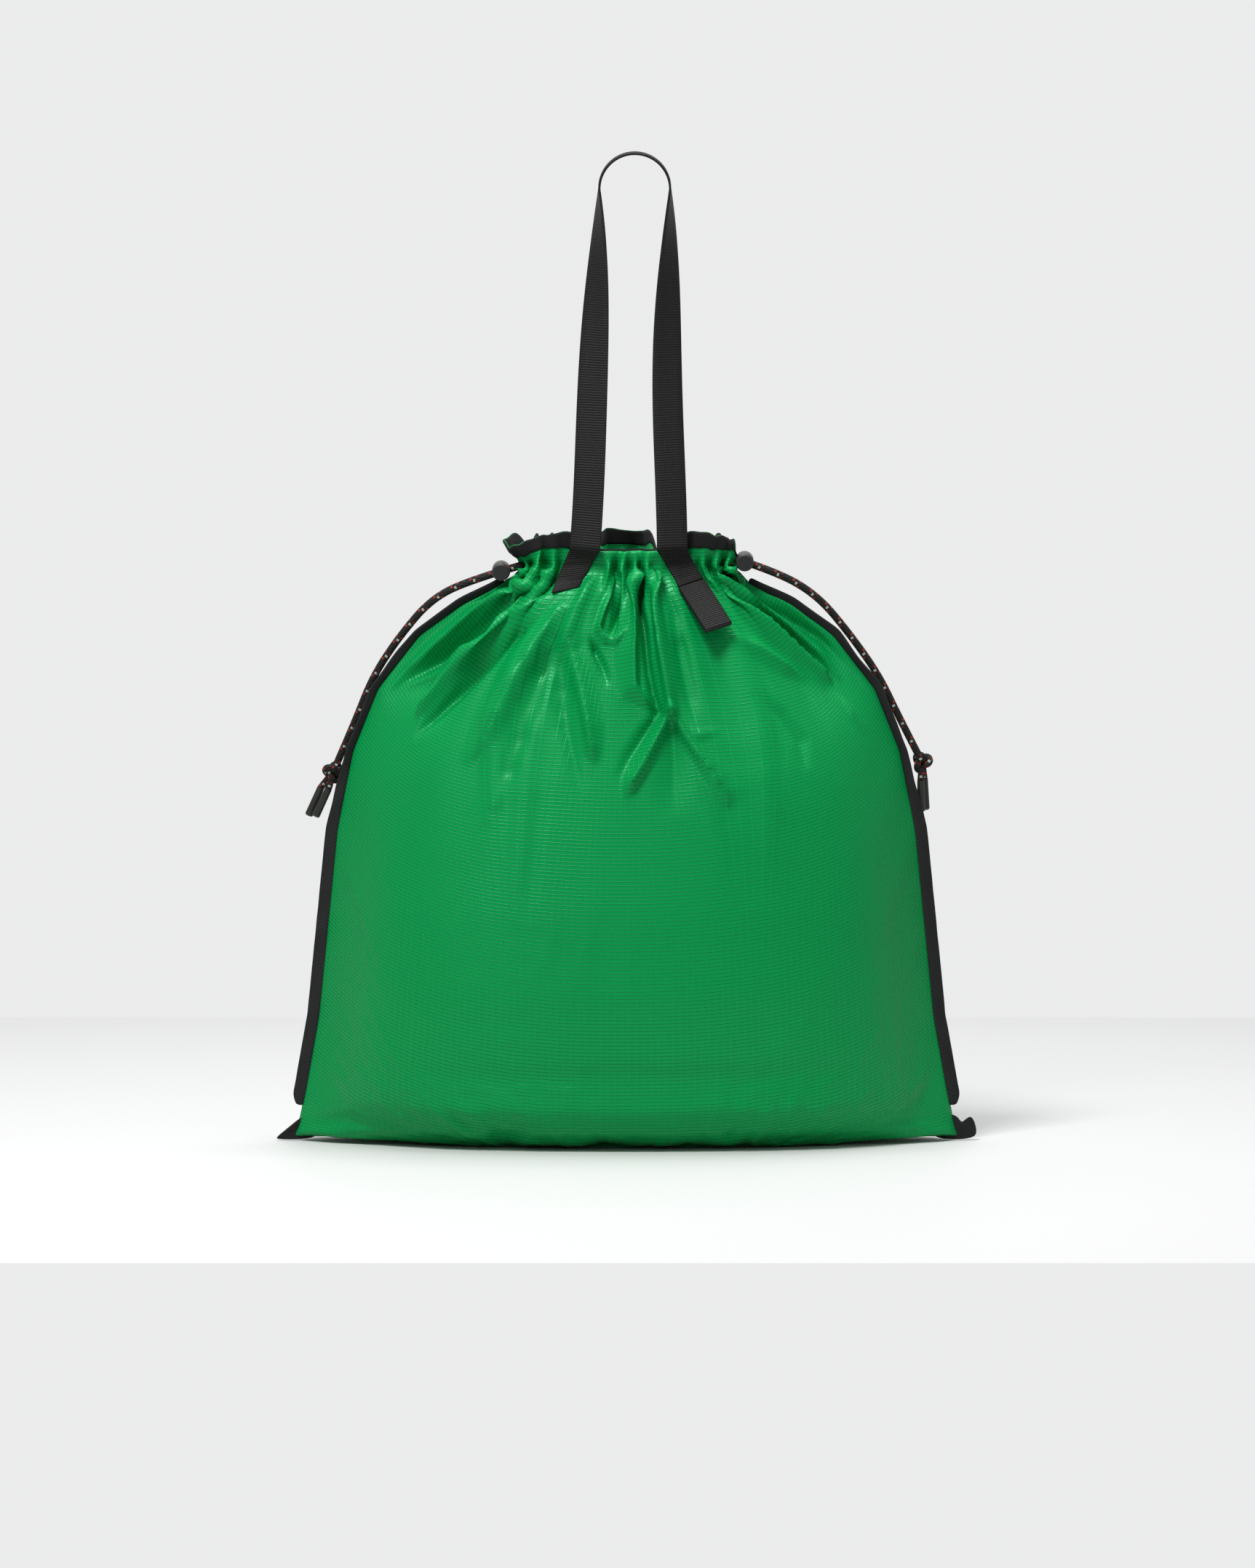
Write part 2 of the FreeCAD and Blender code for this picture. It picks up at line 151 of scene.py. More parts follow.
# The drawcords: two loops of 4.6 mm braided cord. Each leaves the channel at one side seam
# as a pair of strands, runs through its lock and down outside the seam to its knot.
CORD = 0.0046
STRAND_PITCH = 0.005
CORD_SIDES = 16
FLECK_PITCH = 0.0128
ROUTES = {
    "left": ((-0.0665, -0.0025, 0.3693), (-0.097, -0.0021, 0.3605), (-0.124, 0.002, 0.348),
             (-0.1455, 0.0046, 0.3225), (-0.1625, 0.0052, 0.2965), (-0.1735, 0.0058, 0.268),
             (-0.1875, 0.0061, 0.236)),
    "right": ((0.0665, -0.0025, 0.3743), (0.096, -0.0021, 0.365), (0.122, 0.002, 0.3495),
              (0.1420, 0.0050, 0.3255), (0.1615, 0.0056, 0.298), (0.1745, 0.0060, 0.2705),
              (0.189, 0.0061, 0.2425)),
}


def mesh_piece(name, points, faces, uvs, material):
    """A finished mesh piece from its corners and faces, with one UV pair for each corner."""
    mesh = bpy.data.meshes.new(name)
    mesh.from_pydata([tuple(map(float, p)) for p in points], [], faces)
    layer = mesh.uv_layers.new(name="UVMap")
    spread = [uvs[corner] for face in faces for corner in face] if len(uvs) == len(points) else uvs
    layer.data.foreach_set("uv", np.asarray(spread, np.float32).ravel())
    mesh.polygons.foreach_set("use_smooth", [True] * len(mesh.polygons))
    mesh.materials.append(material)
    mesh.update()
    piece = bpy.data.objects.new(name, mesh)
    bpy.context.scene.collection.objects.link(piece)
    return piece


def finish_with(piece, **modifiers):
    """Puts modifiers on a piece and applies them, in the order given."""
    bpy.ops.object.select_all(action="DESELECT")
    bpy.context.view_layer.objects.active = piece
    piece.select_set(True)
    for kind, settings in modifiers.items():
        modifier = piece.modifiers.new(kind, kind)
        for key, value in settings.items():
            setattr(modifier, key, value)
        bpy.ops.object.modifier_apply(modifier=modifier.name)
    piece.select_set(False)


def cord_line(name, route):
    """The smooth line of a cord, read from a NURBS spline through its route."""
    curve = bpy.data.curves.new(name, "CURVE")
    curve.dimensions = "3D"
    curve.resolution_u = 24
    spline = curve.splines.new("NURBS")
    spline.points.add(len(route) - 1)
    for point, spot in zip(spline.points, route):
        point.co = (*spot, 1.0)
    spline.order_u = 3
    spline.use_endpoint_u = True
    holder = bpy.data.objects.new(name, curve)
    bpy.context.scene.collection.objects.link(holder)
    line = bpy.data.meshes.new_from_object(holder)
    points = [v.co.copy() for v in line.vertices]
    bpy.data.objects.remove(holder)
    bpy.data.meshes.remove(line)
    return points


def cord_tube(name, line, radius, material, closed=False):
    """A round cord along a line, with its length and its turn as UV, in metres and turns."""
    ring_up = Vector((0, 1, 0))
    sides = CORD_SIDES
    points, uvs_at, run = [], [], 0.0
    count = len(line)
    for i, spot in enumerate(line):
        before = line[i - 1] if i or closed else line[0]
        after = line[(i + 1) % count] if i < count - 1 or closed else line[-1]
        ahead = (after - before).normalized()
        ring_up = (ring_up - ahead * ring_up.dot(ahead)).normalized()
        side = ahead.cross(ring_up)
        if i:
            run += (spot - line[i - 1]).length
        for k in range(sides):
            angle = 2 * math.pi * k / sides
            points.append(spot + (ring_up * math.cos(angle) + side * math.sin(angle)) * radius)
        uvs_at.append(run)
    faces, uvs = [], []
    total = run + (line[0] - line[-1]).length
    for i in range(count if closed else count - 1):
        j = (i + 1) % count
        u0, u1 = uvs_at[i], uvs_at[j] if j else total
        for k in range(sides):
            m = (k + 1) % sides
            faces.append((i * sides + k, i * sides + m, j * sides + m, j * sides + k))
            uvs += [(u0, k / sides), (u0, (k + 1) / sides), (u1, (k + 1) / sides), (u1, k / sides)]
    if not closed:
        for start, order, u in ((0, -1, 0.0), ((count - 1) * sides, 1, run)):
            faces.append(tuple(start + k for k in range(sides))[::order])
            uvs += [(u, 0.0)] * sides
    return mesh_piece(name, points, faces, uvs, material)


def uv_parts(tree):
    """How far along and how far across a piece, from its UV map."""
    uv = node(tree, "ShaderNodeSeparateXYZ", s0=node(tree, "ShaderNodeTexCoord").outputs["UV"])
    return uv.outputs[0], uv.outputs[1]


def tint(tree, share, colour, other):
    """One colour where share is 0 and the other where it is 1."""
    return node(tree, "ShaderNodeMix", data_type="RGBA", s0=share, s6=colour, s7=other).outputs[2]


cord_braid, tree, shader = new_material("cord_braid", (0.012, 0.011, 0.010), 0.66)
shader.inputs["Specular IOR Level"].default_value = 0.25
along, turn = uv_parts(tree)
laid = calc(tree, "MULTIPLY", along, 210.0)
wound = calc(tree, "MULTIPLY", turn, 8.0)
ways = [calc(tree, "FRACT", calc(tree, way, laid, wound)) for way in ("ADD", "SUBTRACT")]
humps = calc(tree, "MULTIPLY", *[calc(tree, "SINE", calc(tree, "MULTIPLY", way, math.pi))
                                 for way in ways])
relief(tree, shader, humps, 0.8, 0.0005)


def fleck(offset, side):
    """1 inside a fleck that comes once every 12.8 mm, on one side of the cord and its opposite."""
    spot = calc(tree, "FRACT",
                calc(tree, "ADD", calc(tree, "DIVIDE", along, FLECK_PITCH), offset))
    lean = calc(tree, "FRACT", calc(tree, "ADD", calc(tree, "MULTIPLY", turn, 3.0), side))
    near = calc(tree, "LESS_THAN", calc(tree, "ABSOLUTE", calc(tree, "SUBTRACT", spot, 0.5)), 0.055)
    on = calc(tree, "LESS_THAN", calc(tree, "ABSOLUTE", calc(tree, "SUBTRACT", lean, 0.5)), 0.20)
    return calc(tree, "MULTIPLY", near, on)


shade = tint(tree, fleck(0.0, 0.0), (0.012, 0.011, 0.010, 1), (0.36, 0.40, 0.36, 1))
for offset, side in ((0.17, 0.35), (0.83, 0.65)):
    shade = tint(tree, fleck(offset, side), shade, (0.26, 0.022, 0.012, 1))
tree.links.new(shade, shader.inputs["Base Color"])

strand_pieces = {}
for side, route in ROUTES.items():
    for place_name, shift in (("front", 0.0), ("back", STRAND_PITCH)):
        spots = [(x, y + shift, z) for x, y, z in route]
        line = cord_line("route", spots)
        strand = cord_tube(f"cord_{side}_{place_name}", line, CORD / 2, cord_braid)
        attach(strand, "bag")
        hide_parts(f"drawcord_{side}_{place_name}")
        strand_pieces[side, place_name] = (strand, spots[0], line)


# The knots: both strands of a side tied together in one overhand knot, drawn tight, with
# two short tails that go on into the moulded ends.
KNOTS = {"left": (-0.1875, 0.0086, 0.236), "right": (0.189, 0.0086, 0.2425)}
END_TOPS = {
    "left": ((-0.1904, 0.0062, 0.2254), (-0.1954, 0.0116, 0.2258)),
    "right": ((0.1882, 0.0064, 0.2306), (0.1906, 0.012, 0.2312)),
}


def overhand(name, centre, lean):
    """The tied part: a trefoil of cord, closed on itself inside the knot."""
    line = []
    for i in range(72):
        t = 2 * math.pi * i / 72
        x = math.sin(t) + 2 * math.sin(2 * t)
        z = math.cos(t) - 2 * math.cos(2 * t)
        y = -math.sin(3 * t)
        spot = Vector((x * 0.00165, y * 0.0021, z * 0.0019))
        spot = Vector((spot.x * math.cos(lean) + spot.z * math.sin(lean), spot.y,
                       spot.z * math.cos(lean) - spot.x * math.sin(lean)))
        line.append(Vector(centre) + spot)
    return cord_tube(name, line, CORD * 0.46, cord_braid, closed=True)


for side, sign in (("left", -1), ("right", 1)):
    knot = overhand(f"knot_{side}", KNOTS[side], 0.35 * sign)
    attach(knot, "bag")
    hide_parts(f"drawcord_{side}_knot")
    parts = []
    for i, top in enumerate(END_TOPS[side]):
        centre, top = Vector(KNOTS[side]), Vector(top)
        start = centre + (top - centre).normalized() * 0.0035
        line = [start.lerp(top, k / 6) for k in range(7)]
        parts.append(cord_tube(f"cord_tail_{side}_{i + 1}", line, CORD * 0.47, cord_braid))
    for tail in parts:
        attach(tail, f"{side}_cord_ends")
        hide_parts(f"drawcord_{side}_tails")
    for place_name in ("front", "back"):
        strand, start, line = strand_pieces[side, place_name]


# The bag: two panels of thin ripstop sewn together at the sides and the bottom and gathered
# on the drawcords at the mouth. The cloth is cut flat, filled and then let settle.
CLOTH_WIDTH = 0.446
CORD_LINE = 0.468         # from the bottom seam to the drawcords, along the cloth
FRILL_STEP = 0.003
FRILL_ROWS = 8
COLUMNS = 92
ROWS = 84
MOUTH_Z = 0.370
HEIGHTS = np.array((0, 10, 35, 80, 140, 200, 250, 290, 325, 345, 355, 362, 370, 392)) / 1000
HALF_WIDTHS = np.array((213.5, 210, 205, 197, 191, 185, 175, 159, 132, 104, 82, 70,
                        66.3, 68)) / 1000
HALF_DEPTHS = np.array((40, 62, 81, 91, 94, 89, 79, 68, 54, 43, 33.5, 25, 22.3, 23)) / 1000
SEAM_FULLNESS = 0.92
BELLY_FULLNESS = 1.32
PLEATS = 13
PLEAT_DEPTH = 0.0075
SEWN_HALF = 0.013         # half the width of cloth that each sewn webbing end keeps flat
STRAP_FEET = (-0.0266, 0.0292)


def ease(t):
    t = np.clip(t, 0.0, 1.0)
    return t * t * (3 - 2 * t)


def belly(q, half_width, half_depth):
    """Across one panel at one height: x, and how far out from the seams, for q from 0 to 1."""
    r = 1 - q
    x = half_width * (q ** 3 - r ** 3 + 3 * SEAM_FULLNESS * q * r * (q - r))
    return x, half_depth * 3 * BELLY_FULLNESS * q * r


def size_at(z):
    return np.interp(z, HEIGHTS, HALF_WIDTHS), np.interp(z, HEIGHTS, HALF_DEPTHS)


def shares_to_q(shares, z):
    """From shares of a panel's width along the cloth at one height to q."""
    q = np.linspace(0, 1, 201)
    x, y = belly(q, *size_at(z))
    run = np.r_[0, np.cumsum(np.hypot(np.diff(x), np.diff(y)))]
    return np.interp(shares * run[-1], run, q)


def surface_y(x, z):
    """How far in front of the seams the smooth panel stands at one place."""
    q = np.linspace(0, 1, 401)
    xs, ys = belly(q, *size_at(z))
    return -float(np.interp(x, xs, ys))


q_table = np.linspace(0, 1, 401)
mouth_x, mouth_y = belly(q_table, *size_at(MOUTH_Z))
mouth_run = np.r_[0, np.cumsum(np.hypot(np.diff(mouth_x), np.diff(mouth_y)))]
mouth_length = mouth_run[-1]
foot_runs = [float(np.interp(x, mouth_x, mouth_run)) for x in STRAP_FEET]
gather = (CLOTH_WIDTH - 4 * SEWN_HALF) / (mouth_length - 4 * SEWN_HALF)
foot_left = ((foot_runs[0] - SEWN_HALF) * gather + SEWN_HALF) / CLOTH_WIDTH
foot_right = 1 - ((mouth_length - foot_runs[1] - SEWN_HALF) * gather + SEWN_HALF) / CLOTH_WIDTH
sewn_share = SEWN_HALF / CLOTH_WIDTH
gathered_from = [0, foot_left - sewn_share, foot_left + sewn_share,
                 foot_right - sewn_share, foot_right + sewn_share, 1]
gathered_to = np.array([0, foot_runs[0] - SEWN_HALF, foot_runs[0] + SEWN_HALF,
                        foot_runs[1] - SEWN_HALF, foot_runs[1] + SEWN_HALF,
                        mouth_length]) / mouth_length

seam_z = np.linspace(0, MOUTH_Z, 400)
seam_x = np.interp(seam_z, HEIGHTS, HALF_WIDTHS)
seam_run = np.r_[0, np.cumsum(np.hypot(np.diff(seam_z), np.diff(seam_x)))]
cloth_rows = np.r_[np.linspace(0, CORD_LINE, ROWS + 1),
                   CORD_LINE + FRILL_STEP * np.arange(1, FRILL_ROWS + 1)]
cloth_columns = np.linspace(0, 1, COLUMNS + 1)


def sewn_down(u):
    """1 where the front panel is held flat under a sewn webbing end, falling to 0 beside it."""
    gap = np.minimum(abs(u - foot_left), abs(u - foot_right)) * CLOTH_WIDTH
    return 1 - ease((gap - SEWN_HALF) / 0.010)


def panel_start(side, seed):
    """One panel before it settles: its grid of points, laid on the filled shape in pleats."""
    random = np.random.default_rng(seed)
    widths = random.uniform(0.5, 1.5, PLEATS)
    pleat_edges = np.r_[0, np.cumsum(widths)] / widths.sum()
    depths = random.uniform(0.5, 1.3, PLEATS)
    u = cloth_columns
    phase = np.interp(u, pleat_edges, np.arange(PLEATS + 1))
    depth = np.interp(phase, np.arange(PLEATS) + 0.5, depths)
    middle = 1 - abs(2 * u - 1) ** 2.2
    free = ease((1 - abs(2 * u - 1)) / 0.06)
    if side < 0:
        free = free * (1 - sewn_down(u))
    grid = np.zeros((len(cloth_rows), len(u), 3))
    for j, run in enumerate(cloth_rows):
        t = min(run / CORD_LINE, 1.0)
        over = max(run - CORD_LINE, 0.0)
        z_seam = np.interp(t * seam_run[-1], seam_run, seam_z)
        z_middle = MOUTH_Z * max(t - 0.10, 0) / 0.90 if t > 0.10 else 0.003
        z = z_seam + (z_middle - z_seam) * middle
        drawn = float(ease((t - 0.40) / 0.5))
        shares = u * (1 - drawn) + np.interp(u, gathered_from, gathered_to) * drawn \
            if side < 0 else u
        for i in range(len(u)):
            q = shares_to_q(shares[i], z[i]) if i % (len(u) - 1) else u[i]
            x, y = belly(q, *size_at(z[i]))
            y = y * 0.93 + PLEAT_DEPTH * depth[i] * free[i] * ease((t - 0.5) / 0.5) \
                * math.sin(2 * math.pi * phase[i])
            grid[j, i] = (x * (1 + over * 1.2), side * y * (1 + over * 4),
                          max(z[i], 0.0025) + over * 0.95)
        if side < 0:
            held = sewn_down(u) > 0.99
            if t > 0.9:
                for i in np.nonzero(held)[0]:
                    x, z_here = grid[j, i, 0], grid[j, i, 2]
                    grid[j, i, 1] = surface_y(x, min(z_here, MOUTH_Z)) - over * 0.08
        if j <= ROWS:
            grid[j, 0] = (-np.interp(z_seam, seam_z, seam_x), 0, max(z_seam, 0.0025))
            grid[j, -1] = (np.interp(z_seam, seam_z, seam_x), 0, max(z_seam, 0.0025))
        else:
            grid[j, 0, 1] = grid[j, -1, 1] = 0
        if j == 0:
            grid[j, :, 0] = (2 * u - 1) * HALF_WIDTHS[0]
            grid[j, :, 1] = 0
            grid[j, :, 2] = 0.0025
    return grid


corner_of, start_points, flat_points, held_points = {}, [], [], []
starts = {-1: panel_start(-1, 3), 1: panel_start(1, 10)}


def corner(side, j, i):
    """The number of one cloth point; the panels share their side seams and bottom seam."""
    key = (0 if j == 0 or i in (0, COLUMNS) else side, j, i)
    if key not in corner_of:
        corner_of[key] = len(start_points)
        start_points.append(starts[side][j, i])
        flat_points.append(((cloth_columns[i] - 0.5) * CLOTH_WIDTH, 0.0005 * key[0], cloth_rows[j]))
        seam = key[0] == 0 and j <= ROWS
        sewn = side < 0 and sewn_down(cloth_columns[i]) > 0.99 and starts[-1][j, i, 2] > 0.354
        if j == ROWS or seam or sewn:
            held_points.append(corner_of[key])
    return corner_of[key]


panel_faces = {side: [] for side in (-1, 1)}
for side in (-1, 1):
    for j in range(len(cloth_rows) - 1):
        for i in range(COLUMNS):
            square = [corner(side, j, i), corner(side, j, i + 1),
                      corner(side, j + 1, i + 1), corner(side, j + 1, i)]
            panel_faces[side].append(square[::-side])


def settle():
    """Fills the bag and lets its cloth settle; gives back where every point comes to rest."""
    mesh = bpy.data.meshes.new("cloth")
    mesh.from_pydata([tuple(map(float, p)) for p in start_points], [],
                     panel_faces[-1] + panel_faces[1])
    cloth = bpy.data.objects.new("cloth", mesh)
    bpy.context.scene.collection.objects.link(cloth)
    cloth.shape_key_add(name="Basis")
    flat = cloth.shape_key_add(name="flat")
    flat.data.foreach_set("co", np.array(flat_points, np.float32).ravel())
    flat.value = 0
    held = cloth.vertex_groups.new(name="held")
    held.add(held_points, 1.0, "REPLACE")

    levels = ((4, 165, 50), (12, 180, 62), (30, 185, 74), (60, 180, 83), (100, 176, 86),
              (150, 172, 83), (200, 166, 76), (235, 156, 69), (262, 142, 60), (283, 122, 48),
              (298, 95, 34), (308, 60, 20), (314, 20, 6))
    around = 48
    corners = []
    for z, a, b in levels:
        for k in range(around):
            angle = 2 * math.pi * k / around
            c, s = math.cos(angle), math.sin(angle)
            corners.append((a / 1000 * math.copysign(abs(c) ** 0.9, c),
                            b / 1000 * math.copysign(abs(s) ** 0.9, s), z / 1000))
    faces = [(r * around + k, r * around + (k + 1) % around,
              (r + 1) * around + (k + 1) % around, (r + 1) * around + k)
             for r in range(len(levels) - 1) for k in range(around)]
    faces.append(tuple(range(around))[::-1])
    faces.append(tuple((len(levels) - 1) * around + k for k in range(around)))
    stuffing_mesh = bpy.data.meshes.new("stuffing")
    stuffing_mesh.from_pydata(corners, [], faces)
    stuffing = bpy.data.objects.new("stuffing", stuffing_mesh)
    bpy.context.scene.collection.objects.link(stuffing)
    for solid in (stuffing, table):
        solid.modifiers.new("collision", "COLLISION")
        solid.collision.thickness_outer = 0.001 if solid is table else 0.002
        solid.collision.cloth_friction = 20

    modifier = cloth.modifiers.new("cloth", "CLOTH")
    how = modifier.settings
    how.quality = 8
    how.mass = 0.15
    how.air_damping = 1.0
    how.tension_stiffness = how.compression_stiffness = 30
    how.shear_stiffness = 9
    how.bending_stiffness = 0.3
    how.tension_damping = how.compression_damping = how.shear_damping = 5
    how.bending_damping = 0.5
    how.rest_shape_key = flat
    how.vertex_group_mass = "held"
    how.pin_stiffness = 1.0
    how.use_pressure = True
    how.uniform_pressure_force = 2.5
    touch = modifier.collision_settings
    touch.use_collision = True
    touch.distance_min = 0.0015
    touch.use_self_collision = True
    touch.self_distance_min = 0.0012
    touch.self_friction = 5
    scene = bpy.context.scene
    frames = 34
    scene.frame_start, scene.frame_end = 1, frames
    modifier.point_cache.frame_start, modifier.point_cache.frame_end = 1, frames
    for step in range(1, frames + 1):
        scene.frame_set(step)
    settled = cloth.evaluated_get(bpy.context.evaluated_depsgraph_get())
    points = np.zeros(len(start_points) * 3, np.float32)
    settled.data.vertices.foreach_get("co", points)
    bpy.data.objects.remove(cloth)
    bpy.data.objects.remove(stuffing)
    table.modifiers.clear()
    scene.frame_set(1)
    return points.reshape(-1, 3).astype(float)


cloth_points = settle()
cloth_points[:, 2] = np.maximum(cloth_points[:, 2], 0.0006)

# The filled front bellies out over the table just above its base, with a thin gap under it.
BELLY_FORWARD = 0.013
BASE_GAP = 0.0028
front = cloth_points[:, 1] < 0
low = 1 - ease((cloth_points[:, 2] - 0.004) / 0.05)
out = ease((-cloth_points[:, 1] - 0.040) / 0.035)
cloth_points[:, 1] -= BELLY_FORWARD * low * out * front
cloth_points[:, 2] += BASE_GAP * (1 - ease(cloth_points[:, 2] / 0.03)) * out * front

# The frill above the drawcords leans out beside the webbing and tucks in between its feet;
# degrees outwards by where its foot stands across the mouth.
FRILL_LEAN = {
    -1: ((-0.066, 20), (-0.060, -6), (-0.044, 4), (-0.036, -20), (-0.024, -60), (-0.016, -115),
         (0.016, -115), (0.024, -80), (0.038, -45), (0.044, 0), (0.052, 10), (0.060, -4),
         (0.066, 26)),
    1: ((-0.066, 30), (-0.045, 60), (-0.020, 70), (-0.013, 0), (0.013, 2), (0.020, 70),
        (0.045, 60), (0.066, 30)),
}
for side in FRILL_LEAN:
    for j in range(ROWS + 1, len(cloth_rows)):
        row = np.array([corner_of[side, j, i] if 0 < i < COLUMNS else corner_of[0, j, i]
                        for i in range(COLUMNS + 1)])
        for _ in range(3 * (j - ROWS)):
            line = cloth_points[row]
            line[1:-1] += (line[:-2] + line[2:] - 2 * line[1:-1]) * 0.25
            cloth_points[row] = line
for side, leans in FRILL_LEAN.items():
    feet_x, degrees = zip(*leans)
    for i in range(1, COLUMNS):
        lean = float(np.interp(cloth_points[corner_of[side, ROWS, i], 0], feet_x, degrees))
        turn_by = math.radians(lean) * -side
        turns_at = ROWS + (3 if lean < -60 else 0)
        foot = cloth_points[corner_of[side, turns_at, i]].copy()
        for j in range(turns_at + 1, len(cloth_rows)):
            number = corner_of[side, j, i]
            y, z = cloth_points[number, 1:] - foot[1:]
            share = float(ease((j - turns_at) / 3))
            c, s = math.cos(turn_by * share), math.sin(turn_by * share)
            cloth_points[number, 1:] = foot[1:] + np.array((y * c - z * s, y * s + z * c))

